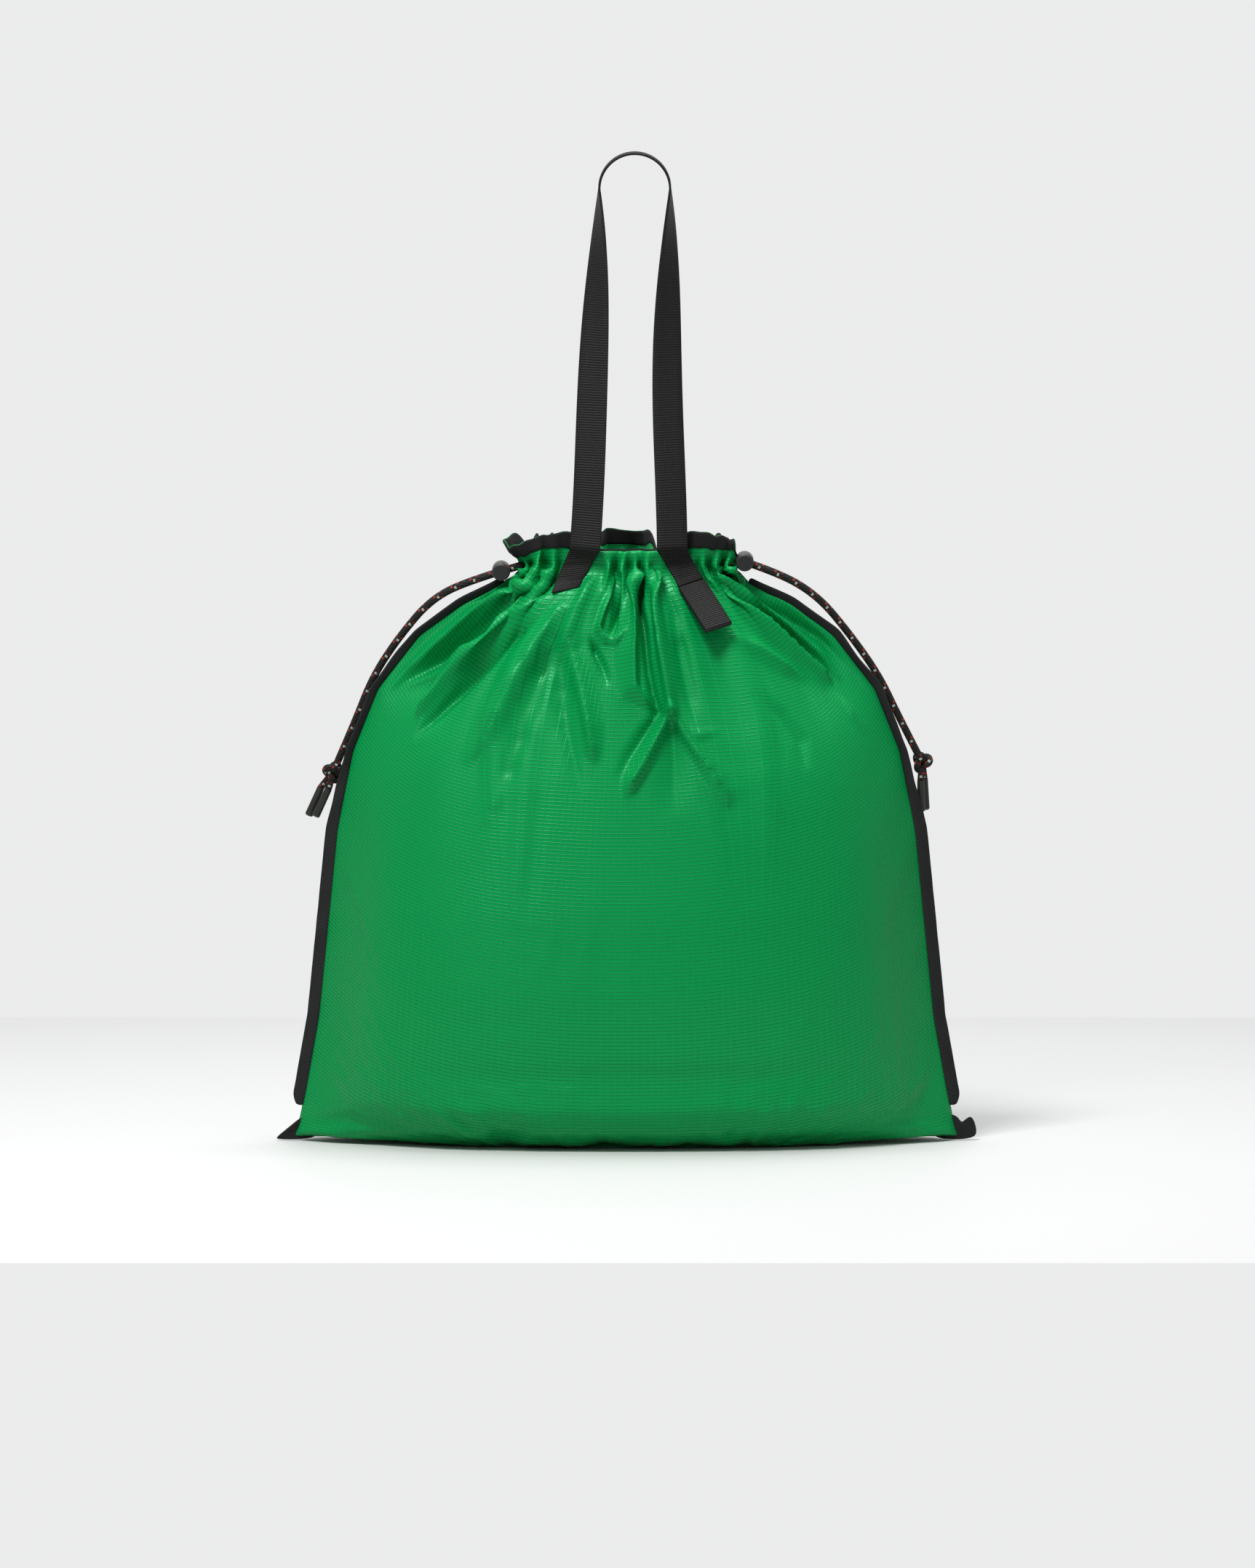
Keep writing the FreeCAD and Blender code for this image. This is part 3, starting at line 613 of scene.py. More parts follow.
# Below the mouth the gathers of the front run into bold folds. Each is a line of places
# across and up as seen square on, with how far it stands out there and how far it reaches to
# its left and right; all in millimetres. Those that stand out less than nothing are hollows.
FOLDS = (
    ((-47, 369, 2.5, 2, 2), (-68, 363, 5.5, 3, 3), (-88, 355, 7, 4, 4), (-107, 346, 5.5, 4, 3),
     (-122, 336, 0, 3, 2)),
    ((-54, 362, -2.5, 1, 1), (-75, 354, -5.5, 3, 3), (-93, 346, -5.5, 3, 3),
     (-111, 337, 0, 2, 2)),
    ((-38, 367, 3.8, 5, 5), (-56, 359, 7.5, 7, 6), (-75, 350, 9.5, 8, 7), (-98, 335, 10, 11, 8),
     (-121, 317, 8, 11, 7), (-139, 301, 5, 8, 5), (-153, 287, 0, 4, 3)),
    ((-54, 356, -3.8, 3, 3), (-75, 339, -8.8, 7, 4), (-98, 320, -9.5, 7, 4),
     (-119, 306, -6, 6, 3), (-139, 294, 0, 3, 2)),
    ((-43, 362, 3.8, 4, 4), (-56, 352, 6.2, 4, 6), (-75, 334, 8, 4, 7), (-95, 314, 7, 4, 8),
     (-121, 297, 4, 3, 7), (-145, 290, 0, 2, 4)),
    ((-54, 346, 2.5, 4, 4), (-75, 330, 7.5, 5, 6), (-98, 309, 9.5, 7, 6), (-116, 292, 8.5, 7, 5),
     (-128, 278, 7.5, 5, 4), (-134, 270, 0, 3, 2)),
    ((-49, 341, 0, 3, 3), (-70, 324, -6, 4, 7), (-93, 303, -9, 4, 8), (-109, 287, -9, 4, 8),
     (-126, 269, -5.5, 4, 7), (-136, 257, 0, 3, 4)),
    ((-35, 349, 2.5, 4, 4), (-44, 335, 7.5, 7, 5), (-56, 317, 10.5, 12, 7),
     (-69, 296, 11, 14, 7), (-79, 276, 8.5, 14, 7), (-91, 255, 5, 11, 7), (-102, 239, 0, 7, 5)),
    ((-30, 349, -3.8, 2, 2), (-39, 334, -9, 5, 3), (-49, 313, -11.5, 6, 3),
     (-56, 295, -10, 6, 3), (-63, 271, -7, 6, 4), (-72, 244, -4, 6, 4), (-86, 202, 0, 4, 4)),
    ((-23, 357, 5, 4, 5), (-32, 341, 9.5, 8, 7), (-37, 325, 9.5, 11, 9), (-34, 312, 6.5, 12, 7),
     (-29, 288, 5.5, 6, 11), (-25, 265, 8, 5, 12), (-22, 250, 6.5, 6, 8), (-20, 241, 0, 4, 4)),
    ((-43, 312, -5, 4, 7), (-41, 288, -5.5, 7, 8), (-38, 265, -4, 7, 7), (-32, 237, -2, 7, 6),
     (-28, 221, 0, 4, 4)),
    ((-4, 361, -8.8, 2, 2), (-6, 343, -12.5, 4, 3), (-8, 329, -7.5, 4, 3), (-11, 321, 0, 3, 3)),
    ((-9, 359, 2.5, 2, 2), (-14, 341, 6, 3, 2), (-18, 327, 6, 3, 3), (-14, 320, 5.5, 3, 3),
     (-7, 319, 5, 3, 3), (-1, 326, 2.5, 3, 3)),
    ((-24, 322, 0, 2, 2), (-21, 314, -8.5, 2, 4), (-15, 302, -4.5, 4, 4), (-11, 290, 0, 4, 4)),
    ((7, 369, 3.8, 3, 1), (6, 357, 8.8, 6, 2), (6, 334, 10.5, 11, 2), (5, 311, 10.5, 14, 3),
     (6, 290, 8.5, 14, 2), (12, 282, 6, 8, 2), (20, 274, 0, 4, 1)),
    ((10, 367, -7.5, 1, 1), (9, 357, -13.8, 2, 2), (9, 339, -13.8, 2, 3), (11, 325, -10, 3, 4),
     (13, 306, -8, 3, 4), (16, 290, -7.5, 4, 4), (21, 274, -8.5, 5, 2), (24, 270, 0, 2, 2)),
    ((15, 371, 3.8, 2, 2), (17, 357, 9.5, 2, 4), (19, 334, 11.5, 3, 6), (22, 311, 12, 4, 8),
     (25, 292, 12, 4, 9), (28, 274, 10, 5, 7)),
    ((28, 274, 10, 5, 5), (22, 261, 9.5, 7, 5), (13, 244, 8.5, 8, 5), (4, 229, 8, 7, 4),
     (-1, 220, 0, 4, 3)),
    ((29, 272, 8, 4, 4), (37, 259, 8, 4, 6), (46, 245, 8.5, 4, 7), (55, 233, 8.5, 5, 8),
     (61, 222, 7.5, 5, 8), (65, 213, 0, 4, 4)),
    ((13, 280, 0, 3, 3), (19, 271, -5.5, 4, 2), (12, 260, -4.5, 7, 3), (2, 244, -3, 7, 3),
     (-6, 229, 0, 4, 3)),
    ((29, 262, -2, 3, 3), (30, 246, -4, 11, 11), (30, 227, -3, 16, 16), (30, 207, 0, 16, 16)),
    ((38, 264, 0, 2, 2), (47, 259, 3.5, 3, 3), (59, 263, 0, 2, 2)),
    ((22, 361, -2.5, 2, 3), (30, 339, -6, 4, 5), (35, 311, -6, 6, 6), (40, 283, -4.5, 6, 7),
     (44, 266, 0, 4, 5)),
    ((64, 325, 0, 5, 5), (83, 315, 4.5, 7, 7), (101, 303, 4.5, 7, 7), (116, 294, 0, 5, 5)),
    ((57, 359, 2.5, 3, 3), (71, 345, 5.5, 5, 2), (88, 330, 8.5, 7, 2), (106, 314, 9, 7, 2),
     (125, 298, 8, 5, 3), (132, 292, 0, 3, 2)),
    ((64, 354, -2.5, 1, 2), (78, 342, -7, 2, 3), (97, 326, -8.5, 3, 4), (113, 311, -5.5, 3, 4),
     (123, 302, 0, 2, 3)),
    ((60, 361, 2.5, 3, 3), (78, 346, 6.5, 3, 4), (101, 329, 8.5, 4, 6), (122, 311, 7, 4, 6),
     (137, 292, 0, 3, 4)),
    ((57, 365, -2.5, 2, 3), (78, 353, -7.5, 3, 5), (101, 337, -8.5, 4, 6), (125, 320, -6, 4, 6),
     (141, 303, 0, 3, 4)),
    ((46, 371, 2, 2, 2), (69, 364, 6, 3, 3), (92, 354, 8, 5, 4), (115, 339, 8.5, 6, 5),
     (134, 321, 7, 6, 5), (150, 299, 4, 5, 4), (169, 268, 0, 3, 3)),
    ((83, 288, 0, 5, 5), (99, 271, -2.8, 7, 7), (111, 255, -3.2, 7, 7), (115, 236, 0, 6, 6)),
    ((134, 285, 0, 3, 3), (143, 274, 2.2, 4, 4), (153, 260, 0, 3, 3)),
    ((-72, 236, 0, 5, 5), (-82, 218, 3, 7, 4), (-88, 200, 0, 4, 3)),
)
SEWN_ENDS = ((-31, 370, -39, 354), (30, 371, 41, 356))
TAB_TOP = Vector((0.0414, -0.02566, 0.3591))
TAB_DOWN = Vector((0.459, -0.556, -0.693)).normalized()
TAB_ACROSS = Vector((0.835, 0.5, 0.23)).normalized()
TAB_OUT = TAB_DOWN.cross(TAB_ACROSS).normalized()
TAB_LENGTH = 0.0365
TAB_HALF_WIDTH = 0.0105
TAB_CLEARANCE = 0.0034
SEWN_REACH = 9            # millimetres round a sewn end where the cloth stays flat
SEWN_FADE = 5


def along_line(places, start, end):
    """How far along a straight line each place lies, how far off it, and 1 on its right."""
    ahead = np.subtract(end, start)
    offset = places - np.array(start)
    share = np.clip(offset @ ahead / (ahead @ ahead), 0, 1)
    gap = np.linalg.norm(offset - np.outer(share, ahead), axis=1)
    return share, gap, ahead[0] * offset[:, 1] - ahead[1] * offset[:, 0] > 0


def raise_folds(points, normals, flat_at):
    """Raises the folds on the front cloth, and keeps it back behind the sewn ends and tab."""
    up = points[:, 2] * math.cos(VIEW_TILT) + points[:, 1] * math.sin(VIEW_TILT)
    places = np.column_stack([points[:, 0], up]) * 1000
    rise = np.zeros(len(points))
    for fold in FOLDS:
        nearest = np.full(len(points), np.inf)
        here = np.zeros(len(points))
        for a, b in zip(fold, fold[1:]):
            share, gap, right = along_line(places, a[:2], b[:2])
            high, left_reach, right_reach = (a[k] + (b[k] - a[k]) * share for k in (2, 3, 4))
            reach = np.maximum(np.where(right, right_reach, left_reach), 1.5)
            closer = gap < nearest
            nearest[closer] = gap[closer]
            here[closer] = (high * np.clip(1 - gap / reach, 0, 1) ** 1.5)[closer]
        rise += here
    free = (ease((CORD_LINE - flat_at[:, 1]) / 0.006)
            * ease((CLOTH_WIDTH / 2 - abs(flat_at[:, 0])) / 0.02))
    for ax, ay, bx, by in SEWN_ENDS:
        _, gap, _ = along_line(places, (ax, ay), (bx, by))
        free *= ease((gap - SEWN_REACH) / SEWN_FADE)
    points = points + normals * (rise * free / 1000)[:, None]
    from_tab = points - np.array(TAB_TOP)
    down, across, out = (from_tab @ np.array(axis) for axis in (TAB_DOWN, TAB_ACROSS, TAB_OUT))
    beside = np.maximum(np.maximum(abs(across) - TAB_HALF_WIDTH, 0),
                        np.maximum(np.maximum(-down, down - TAB_LENGTH), 0))
    limit = -TAB_CLEARANCE + beside * 0.9
    over = np.where((beside < 0.012) & (points[:, 1] < -0.012), np.maximum(out - limit, 0), 0)
    return points - np.outer(over, np.array(TAB_OUT))


# The cloth between those folds is drawn tight, so the small wrinkles there are smoothed away.
SMOOTHING_PASSES = 24
SMOOTHING_SHARE = 0.6
front_grid = np.array([[corner_of[0 if j == 0 or i in (0, COLUMNS) else -1, j, i]
                        for i in range(COLUMNS + 1)] for j in range(ROWS + 1)])
up_share = cloth_rows[:ROWS + 1] / CORD_LINE
from_seam = 1 - abs(2 * cloth_columns - 1)
smooth_here = np.outer(ease((up_share - 0.40) / 0.2) * ease((0.985 - up_share) / 0.04),
                       ease(from_seam / 0.10) * (1 - sewn_down(cloth_columns)))
for _ in range(SMOOTHING_PASSES):
    grid = cloth_points[front_grid]
    around = (grid[:-2, 1:-1] + grid[2:, 1:-1] + grid[1:-1, :-2] + grid[1:-1, 2:]) / 4
    grid[1:-1, 1:-1] += ((around - grid[1:-1, 1:-1]) * SMOOTHING_SHARE
                         * smooth_here[1:-1, 1:-1, None])
    cloth_points[front_grid] = grid

ripstop, tree, shader = new_material("ripstop", (0.003, 0.285, 0.068), 0.40)
shader.inputs["Specular IOR Level"].default_value = 0.36
shader.inputs["Specular Tint"].default_value = (0.30, 1.0, 0.60, 1.0)
across_cloth, up_cloth = uv_parts(tree)


def rib(tree, along, pitch, width):
    """1 on a thicker yarn that comes once every pitch, and 0 between, with soft sides."""
    gap = calc(tree, "ABSOLUTE", calc(tree, "SUBTRACT",
                                      calc(tree, "FRACT", calc(tree, "DIVIDE", along, pitch)), 0.5))
    near = node(tree, "ShaderNodeMapRange", interpolation_type="SMOOTHSTEP",
                s0=gap, s1=0.0, s2=width / pitch, s3=1.0, s4=0.0)
    return near.outputs[0]


def uneven_gloss(tree, shader, unevenness, low, high):
    """Lets the roughness wander between two values."""
    gloss = node(tree, "ShaderNodeMapRange", s0=unevenness, s1=0.3, s2=0.7, s3=low, s4=high)
    tree.links.new(gloss.outputs[0], shader.inputs["Roughness"])


rows_of_yarn = rib(tree, up_cloth, 0.0026, 0.00042)
columns_of_yarn = rib(tree, across_cloth, 0.0044, 0.00040)
weave = noise(tree, 900.0, 2.0)
shade = tint(tree, noise(tree, 9.0, 3.0), (0.0006, 0.262, 0.058, 1), (0.0010, 0.300, 0.070, 1))
# The ripstop's rows of thicker yarn are tinted darker as painted shade along them, and its columns
# of thicker yarn lighter as painted highlight on them.
for yarn, share, colour in ((rows_of_yarn, 0.80, (0.0, 0.13, 0.026, 1)),
                            (columns_of_yarn, 0.20, (0.01, 0.42, 0.12, 1))):
    shade = tint(tree, calc(tree, "MULTIPLY", yarn, share), shade, colour)
tree.links.new(shade, shader.inputs["Base Color"])
yarns = calc(tree, "ADD", calc(tree, "MAXIMUM", rows_of_yarn, columns_of_yarn),
             calc(tree, "MULTIPLY", weave, 0.5))
relief(tree, shader, yarns, 0.5, 0.0003)
uneven_gloss(tree, shader, weave, 0.30, 0.38)

flat_uv = np.array([(x, z) for x, _, z in flat_points])


def cloth_piece(name, faces, material, points=cloth_points):
    """A piece of the settled cloth with only the points that its faces use."""
    used = sorted({corner_number for face in faces for corner_number in face})
    renumber = {old: new for new, old in enumerate(used)}
    return mesh_piece(name, points[used], [[renumber[c] for c in face] for face in faces],
                      flat_uv[used], material)


for side, name in ((-1, "front"), (1, "back")):
    panel = cloth_piece(f"{name}_cloth", panel_faces[side], ripstop)
    finish_with(panel, SUBSURF={"levels": 1, "render_levels": 1})
    if side < 0:
        count = len(panel.data.vertices)
        points, normals = np.zeros(count * 3), np.zeros(count * 3)
        panel.data.vertices.foreach_get("co", points)
        panel.data.vertices.foreach_get("normal", normals)
        flat_at = np.zeros((count, 2))
        for loop, spread in zip(panel.data.loops, panel.data.uv_layers[0].data):
            flat_at[loop.vertex_index] = spread.uv
        points = raise_folds(points.reshape(-1, 3), normals.reshape(-1, 3), flat_at)
        panel.data.vertices.foreach_set("co", points.ravel())
        panel.data.update()
    finish_with(panel, SOLIDIFY={"thickness": 0.0004, "offset": -1.0})
    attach(panel, "bag")
    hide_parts(f"{name}_panel")


# The mouth binding: black tape folded over the raw edge of the frill above the drawcords and
# sewn through near its lower edge. It follows every fold of the frill.
def tape_material(name, colour, roughness, pitch):
    """Closely woven tape: fine ribs across, and a slight unevenness of the yarn; its colour is
    lighter on the ribs as painted highlight and darker between them as painted shade.
    """
    tape, tree, shader = new_material(name, colour, roughness)
    shader.inputs["Specular IOR Level"].default_value = 0.22
    ribs = rib(tree, uv_parts(tree)[0], pitch, pitch * 0.5)
    relief(tree, shader, calc(tree, "ADD", ribs, noise(tree, 1400.0, 2.0)), 0.5, 0.0003)
    # Lit and shaded copies of the tape's one colour: painted shade between the ribs, painted
    # highlight on them.
    dark, light = ((*[c * change for c in colour], 1) for change in (0.55, 1.25))
    shade = tint(tree, ribs, dark, light)
    tree.links.new(shade, shader.inputs["Base Color"])
    return tape


binding_tape = tape_material("binding_tape", (0.013, 0.013, 0.014), 0.66, 0.0009)
top_rows = range(len(cloth_rows) - 5, len(cloth_rows) - 1)
for side, name in ((-1, "front"), (1, "back")):
    faces = [panel_faces[side][j * COLUMNS + i] for j in top_rows for i in range(COLUMNS)]
    binding = cloth_piece(f"{name}_mouth_binding", faces, binding_tape)
    finish_with(binding, SOLIDIFY={"thickness": 0.0021, "offset": 0.0},
                SUBSURF={"levels": 1, "render_levels": 1})
    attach(binding, "bag")
    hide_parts(f"mouth_binding_{name}")


# The drawcord channel: a tape sewn inside round the mouth, with both cords inside it.
channel_tape = tape_material("channel_tape", (0.010, 0.010, 0.011), 0.7, 0.0012)
channel_rows = range(ROWS - 2, ROWS + 2)
CHANNEL_THICKNESS = 0.0012
BEHIND_PLEATS = 0.0012
for side, name in ((-1, "front"), (1, "back")):
    faces = [panel_faces[side][j * COLUMNS + i] for j in channel_rows for i in range(COLUMNS)]
    inner = cloth_points.copy()
    for j in range(channel_rows[0], channel_rows[-1] + 2):
        row = [corner_of[side, j, i] for i in range(1, COLUMNS)]
        depth = side * inner[row, 1]
        behind = np.array([depth[max(i - 3, 0):i + 4].min() for i in range(len(depth))])
        behind = np.convolve(np.pad(behind, 3, "edge"), np.ones(7) / 7, "valid")
        inner[row, 1] = side * np.maximum(np.minimum(behind, depth) - BEHIND_PLEATS,
                                              0.0002)
    tape = cloth_piece(f"{name}_channel_tape", faces, channel_tape, inner)
    finish_with(tape, SOLIDIFY={"thickness": CHANNEL_THICKNESS, "offset": -1.0})
    finish_with(tape, SUBSURF={"levels": 1, "render_levels": 1})
    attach(tape, "bag")
    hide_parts(f"channel_tape_{name}",
                "drawcord_left_channel" if side < 0 else "drawcord_right_channel")


# The side bindings: charcoal tape folded over each side seam's raw edges, standing out from
# the bag as a thin fin. It leans back higher up and is a little wavy from its stitching.
FIN_TOP = 0.358
FIN_FOOT = 0.022
FIN_WIDTH = 0.0078
FIN_THICKNESS = 0.0020

for side, sign in (("left", -1), ("right", 1)):
    random = np.random.default_rng(21 if sign < 0 else 22)
    waves = [(random.uniform(0, 6.28), length) for length in (0.027, 0.041, 0.066)]
    stations = np.linspace(FIN_FOOT, FIN_TOP, 150)
    points, uvs, faces = [], [], []
    outline = ((-0.16, 0.5), (0.45, 0.5), (0.86, 0.5), (0.97, 0.36), (1.0, 0.0),
               (0.97, -0.36), (0.86, -0.5), (0.45, -0.5), (-0.16, -0.5))
    run = 0.0
    for n, z in enumerate(stations):
        x = float(np.interp(z, HEIGHTS, HALF_WIDTHS))
        step = 0.004
        slope = (np.interp(z + step, HEIGHTS, HALF_WIDTHS)
                 - np.interp(z - step, HEIGHTS, HALF_WIDTHS)) / (2 * step)
        off_seam = Vector((1, 0, -slope)).normalized()
        wave = sum(math.sin(a + 2 * math.pi * z / length) for a, length in waves) / 3
        lean = math.radians(20 - 42 * float(ease((z - 0.19) / 0.07)) + 12 * wave)
        out = off_seam * math.cos(lean) + Vector((0, 1, 0)) * math.sin(lean)
        thin = Vector((0, 1, 0)) * math.cos(lean) - off_seam * math.sin(lean)
        width = FIN_WIDTH * (1 - 0.36 * float(ease((z - 0.19) / 0.06)) + 0.06 * wave)
        width *= float(ease((z - FIN_FOOT + 0.004) / 0.012)) ** 0.5
        run += 0 if n == 0 else (stations[1] - stations[0]) * math.hypot(1, slope)
        for a, b in outline:
            spot = Vector((x, 0, z)) + out * (a * width) + thin * (b * FIN_THICKNESS)
            points.append((sign * spot.x, spot.y, spot.z))
            uvs.append((run, a * width))
        if n:
            m = len(outline)
            for k in range(m):
                a, b = (n - 1) * m + k, (n - 1) * m + (k + 1) % m
                square = (a, b, b + m, a + m)
                faces.append(square if sign > 0 else square[::-1])
    m = len(outline)
    ends = [tuple(range(m)), tuple(range(len(points) - m, len(points)))]
    faces += [ends[0][::-1] if sign > 0 else ends[0], ends[1] if sign > 0 else ends[1][::-1]]
    fin = mesh_piece(f"side_binding_tape_{side}", points, faces, uvs, binding_tape)
    finish_with(fin, SUBSURF={"levels": 1, "render_levels": 1})
    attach(fin, "bag")
    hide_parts(f"side_binding_{side}")


# The corner ears: where each side binding reaches the table its end is folded into a small
# mitred loop and sewn flat.
EARS = {
    "left": ((-0.194, 0.021), (-0.204, 0.018), (-0.212, 0.012), (-0.219, 0.006), (-0.225, 0.0012),
             (-0.223, 0.0004), (-0.208, 0.0004), (-0.194, 0.002)),
    "right": ((0.194, 0.016), (0.209, 0.0175), (0.213, 0.014), (0.215, 0.010), (0.221, 0.0186),
              (0.225, 0.0055), (0.223, 0.0016), (0.214, 0.0004), (0.206, 0.0004), (0.194, 0.002)),
}
EAR_THICKNESS = 0.0026


def face_outwards(piece):
    """Turns every face of a closed piece outwards."""
    bpy.context.view_layer.objects.active = piece
    bpy.ops.object.mode_set(mode="EDIT")
    bpy.ops.mesh.select_all(action="SELECT")
    bpy.ops.mesh.normals_make_consistent(inside=False)
    bpy.ops.object.mode_set(mode="OBJECT")


for side, outline in EARS.items():
    middle = [sum(spot[axis] for spot in outline) / len(outline) for axis in (0, 1)]
    points, uvs, faces = [], [], []
    rings = ((1.0, -0.35), (0.93, -0.5), (0.55, -0.44), (0.55, 0.44), (0.93, 0.5), (1.0, 0.35))
    for size, y in rings:
        for x, z in outline:
            spot = (middle[0] + (x - middle[0]) * size, middle[1] + (z - middle[1]) * size)
            wave = 0.0009 * math.sin(spot[0] * 420) + 0.0006 * math.sin(spot[1] * 520)
            points.append((spot[0], y * EAR_THICKNESS + wave, spot[1]))
            uvs.append((spot[0], spot[1]))
    n = len(outline)
    order = [2, 1, 0, 5, 4, 3]
    for a, b in zip(order, order[1:]):
        for k in range(n):
            m = (k + 1) % n
            faces.append((a * n + k, a * n + m, b * n + m, b * n + k))
    faces.append(tuple(2 * n + k for k in range(n))[::-1])
    faces.append(tuple(3 * n + k for k in range(n)))
    ear = mesh_piece(f"corner_fold_{side}", points, faces, uvs, binding_tape)
    face_outwards(ear)
    finish_with(ear, SUBSURF={"levels": 2, "render_levels": 2})
    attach(ear, "bag")
    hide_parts(f"corner_ear_{side}")


# The carrying loop: one length of 20 mm ribbed webbing. It faces the front at its feet and
# twists edge-on towards a narrow arch at the top. Both ends are sewn to the front panel.
WEBBING = 0.020
WEBBING_THICKNESS = 0.0015
LOOP_TOP = 0.634
LOOP_FOOT = 0.3805
LOOP_PLANE = -0.0265
ARCH_X = 0.0053
ARCH_RADIUS = 0.0225
FOOT_TURN = 14.0
TWIST_FROM = 0.440

webbing, tree, shader = new_material("webbing", (0.023, 0.023, 0.022), 0.58)
shader.inputs["Specular IOR Level"].default_value = 0.25
along, across = uv_parts(tree)
ribs = rib(tree, along, 0.0016, 0.0008)
wandering = calc(tree, "ADD", across, calc(tree, "MULTIPLY", ribs, 0.0004))
wales = rib(tree, wandering, 0.0014, 0.0007)
height = calc(tree, "ADD", calc(tree, "ADD", ribs, calc(tree, "MULTIPLY", wales, 0.45)),
              calc(tree, "MULTIPLY", noise(tree, 1500.0, 2.0), 0.5))
relief(tree, shader, height, 0.85, 0.0004)
# The webbing is tinted lighter on its ribs as painted highlight and darker between them as painted
# shade.
shade = tint(tree, ribs, (0.0045, 0.0045, 0.0044, 1), (0.016, 0.016, 0.015, 1))
tree.links.new(shade, shader.inputs["Base Color"])

WEB_SECTION = [(-0.5, -0.25), (-0.47, -0.5), (-0.25, -0.5), (0, -0.5), (0.25, -0.5), (0.47, -0.5),
               (0.5, -0.25), (0.5, 0.25), (0.47, 0.5), (0.25, 0.5), (0, 0.5), (-0.25, 0.5),
               (-0.47, 0.5), (-0.5, 0.25)]


def webbing_piece(name, stations):
    """Webbing through stations of (centre, across, out): woven edges rounded, ribs by length."""
    points, uvs, faces = [], [], []
    run = 0.0
    m = len(WEB_SECTION)
    for n, (centre, across, out) in enumerate(stations):
        if n:
            run += (centre - stations[n - 1][0]).length
        width = across.length
        for a, b in WEB_SECTION:
            points.append(centre + across * a + out * (b * WEBBING_THICKNESS))
            uvs.append((run, a * width + (0.03 if b > 0 else 0.0)))
        if n:
            for k in range(m):
                a, b = (n - 1) * m + k, (n - 1) * m + (k + 1) % m
                faces.append((a, b, b + m, a + m))
    faces += [tuple(range(m))[::-1], tuple(range(len(points) - m, len(points)))]
    piece = mesh_piece(name, points, faces, uvs, webbing)
    face_outwards(piece)
    return piece


def loop_centre(share):
    """Where the middle of the webbing runs: left foot at 0, over the top, right foot at 1."""
    spring_z = LOOP_TOP - ARCH_RADIUS
    if 0.4 < share < 0.6:
        angle = math.pi * (1 - (share - 0.4) / 0.2)
        return ARCH_X + ARCH_RADIUS * math.cos(angle), spring_z + ARCH_RADIUS * math.sin(angle)
    rise = share / 0.4 if share <= 0.4 else (1 - share) / 0.4
    z = LOOP_FOOT + (spring_z - LOOP_FOOT) * rise
    sway = (1 - rise) ** 2
    if share <= 0.4:
        return ARCH_X - ARCH_RADIUS - 0.0093 * sway - 0.0016 * math.sin(math.pi * rise) ** 2, z
    return ARCH_X + ARCH_RADIUS + 0.0014 * sway - 0.0022 * math.sin(math.pi * rise) ** 2, z


stations = []
shares = [0.4 * i / 60 for i in range(61)] + [0.4 + 0.2 * i / 40 for i in range(1, 40)]
shares += [1 - 0.4 * i / 60 for i in range(60, -1, -1)]
for share in shares:
    low, high = max(share - 0.002, 0.0), min(share + 0.002, 1.0)
    (x, z), (x0, z0), (x1, z1) = loop_centre(share), loop_centre(low), loop_centre(high)
    along_web = Vector((x1 - x0, 0, z1 - z0)).normalized()
    climb = (z - TWIST_FROM) / (LOOP_TOP - ARCH_RADIUS - TWIST_FROM)
    climb = min(max(climb, 0.0), 1.0)
    turn_by = math.radians(FOOT_TURN + (90 - FOOT_TURN) * climb ** 2)
    facing = 1.0 if share < 0.5 else -1.0
    across = Vector((facing * math.cos(turn_by), -math.sin(turn_by), 0))
    across = (across - along_web * across.dot(along_web)).normalized()
    stations.append((Vector((x, LOOP_PLANE, z)), across * WEBBING, across.cross(along_web)))
strap = webbing_piece("carrying_loop", stations)
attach(strap, "strap")
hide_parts("strap_loop")


# The sewn ends: each end of the webbing lies flat on the front panel below the mouth and is
# held by rows of stitches.
ANCHORS = {
    "left": ((-0.0362, 0.380), (-0.0170, 0.380), (-0.0298, 0.3576), (-0.0476, 0.3538)),
    "right": ((0.0200, 0.380), (0.0384, 0.380), (0.0490, 0.3618), (0.0330, 0.3574)),
}


def on_panel(x, z, lift):
    """A point lifted off the smooth front panel, and the panel's way out there."""
    step = 0.001
    y = surface_y(x, z)
    dx = (surface_y(x + step, z) - surface_y(x - step, z)) / (2 * step)
    dz = (surface_y(x, z + step) - surface_y(x, z - step)) / (2 * step)
    out = Vector((dx, -1.0, dz)).normalized()
    return Vector((x, y, z)) + out * lift, out


